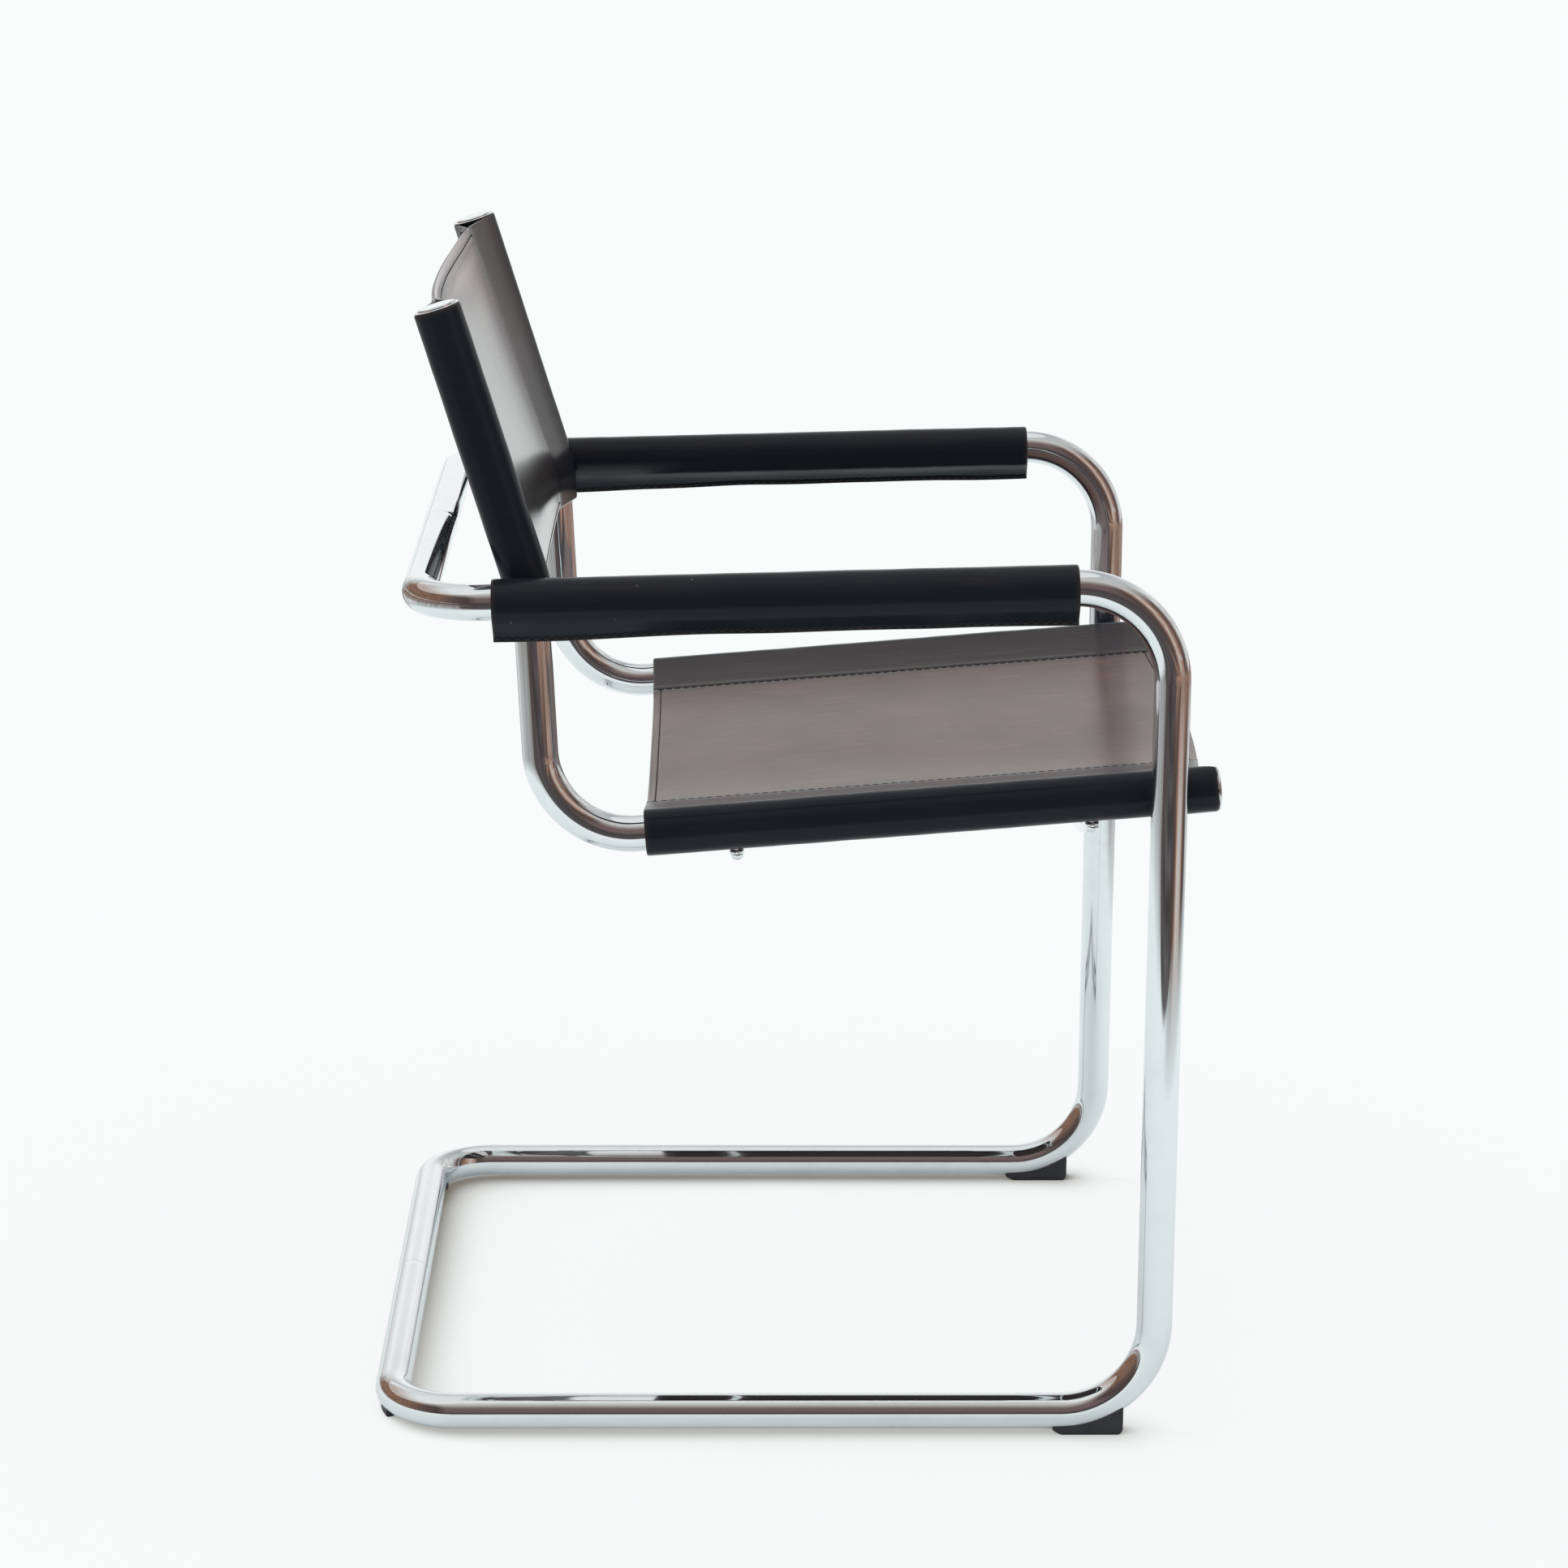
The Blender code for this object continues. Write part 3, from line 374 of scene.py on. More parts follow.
class Finishes:
    """Materials of the chair, sharing the surface effects above."""

    def __init__(self):
        self.effects = {"soiling": soiling_group(), "grain": grain_group(),
                        "hairlines": hairline_group(), "scuffs": scuff_group()}
        self.chrome = self.make_chrome()
        self.leather = self.make_leather()
        self.thread = self.make_thread()
        self.plastic = self.make_plastic()
        self.zinc = self.make_zinc()

    def start(self, name, constants):
        """New material with constant values. Returns it with its tree and Object coordinates."""
        material = bpy.data.materials.new(name)
        material.use_nodes = True
        tree = material.node_tree
        for label, value in constants.items():
            tree.nodes["Principled BSDF"].inputs[label].default_value = value
        return material, tree, tree.nodes.new("ShaderNodeTexCoord").outputs["Object"]

    def effect(self, tree, name, place, inputs):
        """Output of a shared effect placed in a material."""
        group = self.effects[name]
        return add_node(tree, "ShaderNodeGroup", {"Coordinates": place, **inputs}, node_tree=group).outputs[0]

    def finish(self, material, colour, roughness, height, strength):
        """Link a material's varying colour, roughness and relief."""
        tree = material.node_tree
        shader = tree.nodes["Principled BSDF"]
        tree.links.new(colour, shader.inputs["Base Color"])
        tree.links.new(roughness, shader.inputs["Roughness"])
        bump = add_node(tree, "ShaderNodeBump", {"Height": height, "Distance": RELIEF, "Strength": strength})
        tree.links.new(bump.outputs[0], shader.inputs["Normal"])
        return material

    def make_chrome(self):
        """Bright chromium plate with dull patches, rub marks and specks."""
        material, tree, place = self.start("chrome_plate", {"Metallic": 1.0})
        dull = self.effect(tree, "soiling", place, {"Patch Size": 0.07, "Amount": 0.8})
        rubs = self.effect(tree, "hairlines", place, {"Stretch": (420, 420, 60), "Share": 0.28})
        specks = rescaled(tree, noise_value(tree, place, 900, 1.0), 0.77, 0.82, 0.0, 0.6)
        colour = mixed_colour(tree, dull, (0.83, 0.87, 0.88, 1), (0.74, 0.77, 0.77, 1))
        colour = mixed_colour(tree, specks, colour, (0.25, 0.21, 0.18, 1))
        roughness = rescaled(tree, dull, 0.0, 1.0, 0.035, 0.13)
        roughness = maths(tree, "ADD", roughness, product(tree, rubs, 0.04))
        height = maths(tree, "SUBTRACT", product(tree, rubs, -0.3), specks)
        return self.finish(material, colour, roughness, height, 0.12)

    def make_leather(self):
        """Black saddle leather, browner and duller where it is sat on, with fine grain and rub marks."""
        material, tree, place = self.start("saddle_leather", {"IOR": 1.22, "Coat Roughness": 0.19})
        worn, edge, gloss = [
            add_node(tree, "ShaderNodeAttribute", attribute_name=name).outputs["Fac"]
            for name in ("worn", "edge", "gloss")]
        tree.links.new(gloss, tree.nodes["Principled BSDF"].inputs["Coat Weight"])
        streaks = self.effect(tree, "hairlines", place, {"Stretch": (240, 14, 240), "Share": 0.6})
        dust = self.effect(tree, "soiling", place, {"Patch Size": 0.09, "Amount": 0.7})
        rubs = self.effect(tree, "hairlines", place, {"Stretch": (500, 70, 500), "Share": 0.32})
        patches = rescaled(tree, noise_value(tree, place, 16, 4.0), 0.3, 0.7, 0.65, 1.0)
        share = product(tree, worn, patches)
        colour = mixed_colour(tree, share, (0.0060, 0.0102, 0.0152, 1), (0.126, 0.067, 0.052, 1))
        colour = mixed_colour(tree, product(tree, worn, 0.6, streaks), colour, (0.165, 0.092, 0.073, 1))
        colour = mixed_colour(tree, product(tree, dust, 0.012), colour, (0.20, 0.19, 0.18, 1))
        colour = mixed_colour(tree, product(tree, edge, 0.35), colour, (0.050, 0.033, 0.026, 1))
        scuffs = self.effect(tree, "scuffs", place, {"Spacing": 0.018, "Size": 0.0011})
        colour = mixed_colour(tree, scuffs, colour, (0.095, 0.090, 0.088, 1))
        roughness = rescaled(tree, dust, 0.0, 1.0, 0.20, 0.27)
        roughness = maths(tree, "ADD", roughness, product(tree, rubs, 0.04))
        roughness = maths(tree, "ADD", roughness, product(tree, worn, 0.08))
        grain = self.effect(tree, "grain", place, {"Cell Size": 0.0011})
        return self.finish(material, colour, roughness, grain, 0.07)

    def make_thread(self):
        """Waxed dark thread with a twist."""
        material, tree, place = self.start("waxed_thread", {"IOR": 1.45})
        twist = add_node(tree, "ShaderNodeTexWave", {
            "Vector": place, "Scale": 700.0, "Distortion": 1.5}, bands_direction="DIAGONAL").outputs["Fac"]
        colour = mixed_colour(tree, twist, (0.018, 0.013, 0.012, 1), (0.036, 0.027, 0.024, 1))
        roughness = rescaled(tree, noise_value(tree, place, 300), 0.3, 0.7, 0.5, 0.7)
        return self.finish(material, colour, roughness, twist, 0.5)

    def make_plastic(self):
        """Black moulded plastic with a fine eroded texture and a little floor dust."""
        material, tree, place = self.start("black_moulded_plastic", {"IOR": 1.5})
        dust = self.effect(tree, "soiling", place, {"Patch Size": 0.012, "Amount": 0.8})
        grain = self.effect(tree, "grain", place, {"Cell Size": 0.0005})
        colour = mixed_colour(tree, dust, (0.013, 0.014, 0.019, 1), (0.030, 0.031, 0.036, 1))
        roughness = rescaled(tree, dust, 0.0, 1.0, 0.42, 0.62)
        return self.finish(material, colour, roughness, grain, 0.25)

    def make_zinc(self):
        """Zinc plate, cloudy and slightly rubbed."""
        material, tree, place = self.start("zinc_plate", {"Metallic": 1.0})
        dull = self.effect(tree, "soiling", place, {"Patch Size": 0.008, "Amount": 1.0})
        rubs = self.effect(tree, "hairlines", place, {"Stretch": (900, 900, 200), "Share": 0.35})
        colour = mixed_colour(tree, dull, (0.60, 0.62, 0.64, 1), (0.42, 0.43, 0.42, 1))
        roughness = rescaled(tree, dull, 0.0, 1.0, 0.26, 0.48)
        return self.finish(material, colour, roughness, rubs, 0.2)


# Geometry Nodes

def close_tree(tree, given, result, geometry):
    """End a Geometry Nodes tree: what it made becomes plain geometry in the given finish."""
    plain = add_node(tree, "GeometryNodeRealizeInstances", {"Geometry": geometry.outputs[0]})
    painted = add_node(tree, "GeometryNodeSetMaterial", {
        "Geometry": plain.outputs[0], "Material": given["Finish"]})
    tree.links.new(painted.outputs[0], result.inputs[0])
    return tree


def bent_tube_tree():
    """Round tube along a path of edges, waisted where the path's waist attribute is below 1."""
    tree, given, result = new_tree("bent_tube", "GeometryNodeTree", {
        "Path": ("NodeSocketGeometry", None),
        "Tube Radius": ("NodeSocketFloat", TUBE_RADIUS),
        "Sides": ("NodeSocketInt", TUBE_SIDES),
        "Finish": ("NodeSocketMaterial", None),
    }, {"Tube": "NodeSocketGeometry"})
    waist = add_node(tree, "GeometryNodeInputNamedAttribute", {"Name": "waist"}, data_type="FLOAT")
    route = add_node(tree, "GeometryNodeMeshToCurve", {"Mesh": given["Path"]})
    ring = add_node(tree, "GeometryNodeCurvePrimitiveCircle", {
        "Resolution": given["Sides"], "Radius": given["Tube Radius"]})
    swept = add_node(tree, "GeometryNodeCurveToMesh", {
        "Curve": route.outputs[0], "Profile Curve": ring.outputs[0],
        "Scale": waist.outputs[0], "Fill Caps": True})
    smooth = add_node(tree, "GeometryNodeSetShadeSmooth", {"Geometry": swept.outputs[0]})
    return close_tree(tree, given, result, smooth)


def stitch_row_tree():
    """Row of stitches at an even pitch along paths of edges."""
    tree, given, result = new_tree("stitch_row", "GeometryNodeTree", {
        "Path": ("NodeSocketGeometry", None),
        "Pitch": ("NodeSocketFloat", STITCH_PITCH),
        "Stitch Length": ("NodeSocketFloat", STITCH_LENGTH),
        "Thread": ("NodeSocketFloat", THREAD),
        "Finish": ("NodeSocketMaterial", None),
    }, {"Stitches": "NodeSocketGeometry"})
    route = add_node(tree, "GeometryNodeMeshToCurve", {"Mesh": given["Path"]})
    holes = add_node(tree, "GeometryNodeCurveToPoints", {
        "Curve": route.outputs[0], "Length": given["Pitch"]}, mode="LENGTH")
    turn = add_node(tree, "FunctionNodeAlignRotationToVector", {"Vector": holes.outputs["Tangent"]}, axis="X")
    bead = add_node(tree, "GeometryNodeMeshUVSphere", {"Segments": 8, "Rings": 6, "Radius": 0.5})
    smooth = add_node(tree, "GeometryNodeSetShadeSmooth", {"Geometry": bead.outputs["Mesh"]})
    size = add_node(tree, "ShaderNodeCombineXYZ", {
        "X": given["Stitch Length"], "Y": given["Thread"], "Z": given["Thread"]})
    rows = add_node(tree, "GeometryNodeInstanceOnPoints", {
        "Points": holes.outputs["Points"], "Instance": smooth.outputs[0],
        "Rotation": turn.outputs[0], "Scale": size.outputs[0]})
    return close_tree(tree, given, result, rows)


def set_of_parts_tree():
    """One turned part set on every point of a mesh, facing along the point's facing attribute."""
    tree, given, result = new_tree("set_of_parts", "GeometryNodeTree", {
        "Places": ("NodeSocketGeometry", None),
        "Part": ("NodeSocketObject", None),
        "Finish": ("NodeSocketMaterial", None),
    }, {"Parts": "NodeSocketGeometry"})
    facing = add_node(tree, "GeometryNodeInputNamedAttribute", {"Name": "facing"}, data_type="FLOAT_VECTOR")
    turn = add_node(tree, "FunctionNodeAlignRotationToVector", {"Vector": facing.outputs[0]}, axis="Z")
    part = add_node(tree, "GeometryNodeObjectInfo", {"Object": given["Part"]})
    placed = add_node(tree, "GeometryNodeInstanceOnPoints", {
        "Points": given["Places"], "Instance": part.outputs["Geometry"], "Rotation": turn.outputs[0]})
    return close_tree(tree, given, result, placed)


def new_object(name, mesh):
    """Object of a mesh, linked into the scene."""
    made = bpy.data.objects.new(name, mesh)
    bpy.context.scene.collection.objects.link(made)
    return made


def grown(name, mesh, tree, inputs):
    """Plain mesh object that a node tree makes from a mesh."""
    made = new_object(name, mesh)
    modifier = made.modifiers.new(tree.name, "NODES")
    modifier.node_group = tree
    keys = {item.name: item.identifier for item in tree.interface.items_tree if item.in_out == "INPUT"}
    for label, value in inputs.items():
        modifier[keys[label]] = value
    depsgraph = bpy.context.evaluated_depsgraph_get()
    result = bpy.data.meshes.new_from_object(made.evaluated_get(depsgraph), depsgraph=depsgraph)
    made.modifiers.clear()
    made.data = result
    result.name = name
    bpy.data.meshes.remove(mesh)
    return made


def path_mesh(name, paths, closed=False):
    """Mesh of edges along paths of points."""
    points, edges = [], []
    for path in paths:
        first = len(points)
        points += path
        edges += [(index, index + 1) for index in range(first, len(points) - 1)]
        if closed:
            edges.append((len(points) - 1, first))
    mesh = bpy.data.meshes.new(name)
    mesh.from_pydata(points, edges, [])
    return mesh


def solid_object(name, bm, finish, sharp=40):
    """Object of a closed bmesh with outward faces, smooth but for its sharp edges."""
    bmesh.ops.remove_doubles(bm, verts=bm.verts[:], dist=1e-6)
    bmesh.ops.recalc_face_normals(bm, faces=bm.faces[:])
    mesh = bpy.data.meshes.new(name)
    bm.to_mesh(mesh)
    bm.free()
    mesh.shade_smooth()
    mesh.set_sharp_from_angle(angle=math.radians(sharp))
    mesh.materials.append(finish)
    return new_object(name, mesh)


def dress(piece, slot, *nodes):
    """Let a piece ride on the chair in place of some CAD nodes. The slot is not used."""
    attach(piece, "root")
    if nodes:
        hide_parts(*nodes)


# Routes of the tubes

def bend(before, corner, after, radius):
    """Points round one bend of a route."""
    incoming, outgoing = (corner - before).normalized(), (after - corner).normalized()
    turn = incoming.angle(outgoing)
    inward = (outgoing - incoming * incoming.dot(outgoing)).normalized()
    centre = corner - incoming * radius * math.tan(turn / 2) + inward * radius
    steps = math.ceil(turn / BEND_STEP)
    angles = [turn * step / steps for step in range(steps + 1)]
    return [centre + (incoming * math.sin(angle) - inward * math.cos(angle)) * radius for angle in angles]


def route_through(corners, radii, closed=False):
    """Points round the bends and along the straight runs of a route."""
    count = len(corners)
    turns = range(count) if closed else range(1, count - 1)
    points = [] if closed else [corners[0]]
    for index, radius in zip(turns, radii):
        points += bend(corners[index - 1], corners[index], corners[(index + 1) % count], radius)
    points.append(points[0] if closed else corners[-1])
    route = []
    for one, two in zip(points, points[1:]):
        steps = max(1, math.ceil((two - one).length / RUN_STEP))
        route += [one.lerp(two, step / steps) for step in range(steps)]
    return route if closed else route + [points[-1]]


class Route:
    """A route that can be asked for its point and direction at a distance."""

    def __init__(self, points):
        self.points = points
        self.along = [0.0]
        for one, two in zip(points, points[1:]):
            self.along.append(self.along[-1] + (two - one).length)

    def point(self, distance):
        """Point at a distance, carried on in a straight line past both ends."""
        index = min(max(bisect.bisect_right(self.along, distance) - 1, 0), len(self.points) - 2)
        share = (distance - self.along[index]) / (self.along[index + 1] - self.along[index])
        return self.points[index].lerp(self.points[index + 1], share)

    def direction(self, distance):
        """Unit direction at a distance."""
        return (self.point(distance + 0.001) - self.point(distance - 0.001)).normalized()


def arm_z(y):
    """Height of the arm axis."""
    return ARM_HEIGHT - (y - LEG_Y) * math.tan(ARM_FALL)


def rail_z(y):
    """Height of the seat rail axis, carried on in a straight line."""
    return SEAT_HEIGHT - (y - LEG_Y) * math.tan(SEAT_FALL)


def leaning(angle):
    """Upward direction that leans back by an angle."""
    return Vector((0, math.sin(angle), math.cos(angle)))


def arm_joint():
    """Where the arm axis and the back tube's axis cross, seen from the side."""
    y = LEG_Y + BACK_SETBACK
    return Vector((0, y, arm_z(y)))


def frame_route():
    """Axis of the whole outer frame, once round."""
    top_y = LEG_Y + BACK_SETBACK + ARM_TAIL + CORNER_BEND_RADIUS
    half = [
        Vector((FRAME_X, FLOOR_BAR_Y, RUNNER_Z)),
        Vector((FRAME_X, LEG_Y, RUNNER_Z)),
        Vector((FRAME_X, LEG_Y, ARM_HEIGHT)),
        Vector((FRAME_X, top_y, arm_z(top_y))),
    ]
    radii = [CORNER_BEND_RADIUS, SIDE_BEND_RADIUS, SIDE_BEND_RADIUS, CORNER_BEND_RADIUS]
    other = [Vector((-corner.x, corner.y, corner.z)) for corner in half[::-1]]
    return route_through(half + other, radii + radii[::-1], closed=True)


def inner_route(x):
    """Axis of one seat and back tube, from the front of the rail to the top of the post."""
    half_turn = (POST_LEAN - UPRIGHT_LEAN) / 2
    mean_lean = (POST_LEAN + UPRIGHT_LEAN) / 2
    to_corner = POST_BEND_RADIUS * (1 / math.cos(half_turn) - 1)
    corner = arm_joint() - Vector((0, math.cos(mean_lean), -math.sin(mean_lean))) * to_corner
    upright, fall = leaning(UPRIGHT_LEAN), math.tan(SEAT_FALL)
    drop = (corner.z - rail_z(corner.y)) / (upright.z + upright.y * fall)
    front_y = LEG_Y - RAIL_OVERHANG
    corners = [
        Vector((x, front_y, rail_z(front_y))),
        corner - upright * drop + ACROSS * x,
        corner + ACROSS * x,
        corner + leaning(POST_LEAN) * POST_LENGTH + ACROSS * x,
    ]
    return route_through(corners, [SEAT_BEND_RADIUS, POST_BEND_RADIUS])


def rail_run():
    """Length of the straight rail from its front end to the bend behind the seat."""
    rail = Vector((0, math.cos(SEAT_FALL), -math.sin(SEAT_FALL)))
    upright = leaning(UPRIGHT_LEAN)
    gap = arm_joint() - Vector((0, LEG_Y - RAIL_OVERHANG, rail_z(LEG_Y - RAIL_OVERHANG)))
    reach = (gap.y * upright.z - gap.z * upright.y) / (rail.y * upright.z - rail.z * upright.y)
    return reach - SEAT_BEND_RADIUS * math.tan(rail.angle(upright) / 2)


def joint_distance(route):
    """Distance along a seat and back tube to its arm joint."""
    joint = arm_joint()
    gaps = [(Vector((0, point.y, point.z)) - joint).length for point in route.points]
    return route.along[gaps.index(min(gaps))]


def sitter_side(direction):
    """Direction from a seat and back tube towards the sitter, square to the tube."""
    return Vector((0, -direction.z, direction.y))


def spreader_place(x, setback):
    """Point on the rails' axis above a spreader, its direction, and the direction towards the sitter."""
    route = Route(inner_route(x))
    distance = (RAIL_OVERHANG + setback) / math.cos(SEAT_FALL)
    direction = route.direction(distance)
    return route.point(distance), direction, sitter_side(direction)


# Steel pieces

def make_tube(name, tree, route, waists, finish, closed=False):
    """Tube along a route, with its share of the full radius at each point."""
    mesh = path_mesh(name, [route], closed)
    mesh.attributes.new("waist", "FLOAT", "POINT").data.foreach_set("value", waists)
    return grown(name, mesh, tree, {"Tube Radius": TUBE_RADIUS, "Sides": TUBE_SIDES, "Finish": finish})


def make_tubes(finishes):
    """The outer frame with a hairline joint in both cross bars, and the two seat and back tubes."""
    tree = bent_tube_tree()
    joint_end = JOINT_GROOVE[-1][0]
    route = [point for point in frame_route() if abs(point.x) > joint_end]
    points, waists = [], []
    for one, two in zip(route, route[1:] + route[:1]):
        points.append(one)
        waists.append(1.0)
        if one.x * two.x < 0:
            middle = Vector((0, one.y, one.z))
            onward = ACROSS * math.copysign(1, two.x - one.x)
            points += [middle + onward * place for place, _ in JOINT_GROOVE]
            waists += [waist for _, waist in JOINT_GROOVE]
    loop = make_tube("frame_loop", tree, points, waists, finishes.chrome, closed=True)
    dress(loop, "chrome", "left_frame_tube", "right_frame_tube")
    for name, side in SIDES.items():
        route = inner_route(side * RAIL_X)
        tube = make_tube(name + "_inner_tube", tree, route, [1.0] * len(route), finishes.chrome)
        dress(tube, "chrome", name + "_seat_back_tube")


def bridge(bm, rings):
    """Faces between rings of points, each ring and the next. A ring may also be one point."""
    for one, two in zip(rings, rings[1:]):
        count = max(len(one), len(two))
        for index in range(count):
            after = (index + 1) % count
            corners = [one[index % len(one)], one[after % len(one)],
                       two[after % len(two)], two[index % len(two)]]
            bm.faces.new(list(dict.fromkeys(corners)))


def turned_part(name, profile, finish):
    """Closed object turned round Z from (radius, height) points that start and end on the axis."""
    bm = bmesh.new()
    rings = []
    for radius, height in profile:
        turns = [2 * math.pi * index / TURNED_SIDES for index in range(TURNED_SIDES if radius else 1)]
        rings.append([bm.verts.new((radius * math.cos(turn), radius * math.sin(turn), height))
                      for turn in turns])
    bridge(bm, rings)
    return solid_object(name, bm, finish)


def make_set(name, tree, profile, places, finish):
    """The same turned part at several places, each given as (foot, facing)."""
    part = turned_part(name + "_part", profile, finish)
    mesh = bpy.data.meshes.new(name)
    mesh.from_pydata([foot for foot, _ in places], [], [])
    facings = [value for _, facing in places for value in facing]
    mesh.attributes.new("facing", "FLOAT_VECTOR", "POINT").data.foreach_set("vector", facings)
    made = grown(name, mesh, tree, {"Part": part, "Finish": finish})
    shape = part.data
    bpy.data.objects.remove(part)
    bpy.data.meshes.remove(shape)
    return made


def make_caps(finishes, tree):
    """Domed caps on the front ends of the rails and the tops of the posts."""
    rim = TUNNEL_OUTER - CAP_INSET
    top = CLEARANCE + CAP_RIM
    shoulder = rim - CAP_BORDER
    button, wall = shoulder - CAP_EDGE, top + CAP_WALL
    profile = [
        *CAP_PLUG, (rim - CAP_EDGE, CLEARANCE), (rim, CLEARANCE + CAP_EDGE),
        (rim, top - 0.0001), (rim - CAP_EDGE, top + 0.0001),
        (shoulder + 0.0006, top + 0.0002), (shoulder, top - CAP_EDGE),
        (shoulder - 0.0001, wall - 0.0002), (button, wall)]
    for step in range(1, CAP_STEPS + 1):
        angle = math.pi / 2 * step / CAP_STEPS
        radius = button * math.cos(angle) if step < CAP_STEPS else 0
        profile.append((radius, wall + (CAP_DOME - CAP_WALL) * math.sin(angle)))
    ends = []
    for side in SIDES.values():
        route = Route(inner_route(side * RAIL_X))
        ends.append((route.points[0], -route.direction(0.002)))
        ends.append((route.points[-1], route.direction(route.along[-1] - 0.002)))
    caps = make_set("tube_caps", tree, profile, ends, finishes.chrome)
    dress(caps, "chrome", *[f"{name}_{place}_cap" for name in SIDES for place in ("rail", "post")])


def make_spreader_screws(finishes, tree):
    """Domed screws under the rails, which hold the spreaders."""
    head = TAB_HEAD_DIAMETER / 2
    profile = [
        (0, -SCREW_SHANK), (head * 0.5, -SCREW_SHANK), (head * 0.5, 0), (head, 0), (head, SCREW_EDGE)]
    for step in range(1, 9):
        angle = math.radians(70) * step / 8
        profile.append((head * math.cos(angle), SCREW_EDGE + (TAB_HEAD_HEIGHT - 0.0008) * math.sin(angle)))
    profile += [(head * 0.3, TAB_HEAD_HEIGHT * 0.55), (0, TAB_HEAD_HEIGHT * 0.5)]
    below = TUNNEL_OUTER + 2 * CLEARANCE + TAB_THICKNESS
    places = []
    for setback in SPREADER_SETBACKS.values():
        for side in SIDES.values():
            origin, _, up = spreader_place(side * RAIL_X, setback)
            places.append((origin - up * below, -up))
    screws = make_set("spreader_dome_screws", tree, profile, places, finishes.chrome)
    nodes = [f"{name}_{place}_spreader_screw" for name in SIDES for place in SPREADER_SETBACKS]
    dress(screws, "chrome", *nodes)


def spreader_outline():
    """(across, up, half width, half thickness) along a spreader, measured from the rail axes."""
    tab_up = -(TUNNEL_OUTER + CLEARANCE + TAB_THICKNESS / 2)
    rod_up = tab_up + TAB_THICKNESS / 2 - SPREADER_ROD / 2
    wide, thin, rod = TAB_WIDTH / 2, TAB_THICKNESS / 2, SPREADER_ROD / 2
    tab_end = RAIL_X + wide - TAB_LENGTH
    rod_end = tab_end - SPREADER_ROD
    outer = []
    for step in range(9):
        angle = math.pi / 2 * step / 8
        outer.append((RAIL_X + wide * math.cos(angle), tab_up, max(wide * math.sin(angle), 0.0004), thin))
    outer.append((tab_end, tab_up, wide, thin))
    for step in range(1, 8):
        share = step / 8
        ease = share * share * (3 - 2 * share)
        outer.append((tab_end + (rod_end - tab_end) * share, tab_up + (rod_up - tab_up) * ease,
                      wide + (rod - wide) * ease, thin + (rod - thin) * ease))
    middle = []
    for step in range(65):
        share = 1 - 2 * step / 64
        middle.append((rod_end * share, rod_up - SPREADER_BOW * (1 - share ** 2), rod, rod))
    return outer + middle + [(-across, *rest) for across, *rest in outer[::-1]]


def make_spreaders(finishes):
    """Bowed rods with flattened ends that hold the two rails apart."""
    outline = spreader_outline()
    turns = [2 * math.pi * step / ROD_SIDES for step in range(ROD_SIDES)]
    for name, setback in SPREADER_SETBACKS.items():
        origin, direction, up = spreader_place(0, setback)
        bm = bmesh.new()
        rings = []
        for index, (across, height, width, thickness) in enumerate(outline):
            one, two = outline[max(index - 1, 0)], outline[min(index + 1, len(outline) - 1)]
            run = (ACROSS * (two[0] - one[0]) + up * (two[1] - one[1])).normalized()
            normal = run.cross(direction)
            centre = origin + ACROSS * across + up * height
            wide, thick = direction * width, normal * thickness
            rings.append([bm.verts.new(centre + wide * math.cos(turn) + thick * math.sin(turn))
                          for turn in turns])
        bridge(bm, rings)
        bm.faces.new(rings[0])
        bm.faces.new(rings[-1])
        rod = solid_object(name + "_spreader_rod", bm, finishes.chrome, 50)
        dress(rod, "chrome", name + "_spreader")


# Glides

def rounded_outline(corners, radii):
    """Closed outline in a plane, with an arc of its radius at each corner."""
    outline = []
    for index, (corner, radius) in enumerate(zip(corners, radii)):
        if radius:
            before, after = corners[index - 1], corners[(index + 1) % len(corners)]
            outline += bend(before, corner, after, radius)[::3]
        else:
            outline.append(corner)
    return outline


def make_front_glides(finishes):
    """Feet under the front bends, whose tops fill the space below the tube."""
    front = LEG_Y + FRONT_GLIDE_SETBACK
    rear = front + FRONT_GLIDE_LENGTH
    axis_y, axis_z = LEG_Y + SIDE_BEND_RADIUS, RUNNER_Z + SIDE_BEND_RADIUS
    below = SIDE_BEND_RADIUS + FRONT_GLIDE_TOP
    tops = []
    for step in range(13):
        y = rear + (front - rear) * step / 12
        drop = math.sqrt(below ** 2 - (axis_y - y) ** 2) if y < axis_y else below
        tops.append(Vector((0, y, axis_z - drop)))
    heel_length, heel_height = FRONT_GLIDE_HEEL
    corners = [
        Vector((0, front, 0)), Vector((0, rear - heel_length, 0)), Vector((0, rear, heel_height)), *tops]
    outline = rounded_outline(corners, FRONT_GLIDE_ROUNDING + [0] * len(tops))
    for name, side in SIDES.items():
        bm = bmesh.new()
        rings = []
        for x in (-GLIDE_WIDTH / 2, GLIDE_WIDTH / 2):
            rings.append([bm.verts.new(point + ACROSS * (side * FRAME_X + x)) for point in outline])
            bm.faces.new(rings[-1])
        bridge(bm, rings)
        bmesh.ops.recalc_face_normals(bm, faces=bm.faces[:])
        rims = [edge for edge in bm.edges if abs(edge.verts[0].co.x - edge.verts[1].co.x) < 1e-6]
        bmesh.ops.bevel(bm, geom=rims, offset=FRONT_GLIDE_EDGE, segments=3, affect="EDGES", profile=0.5)
        glide = solid_object(name + "_front_foot", bm, finishes.plastic)
        dress(glide, "black_plastic", name + "_front_glide")


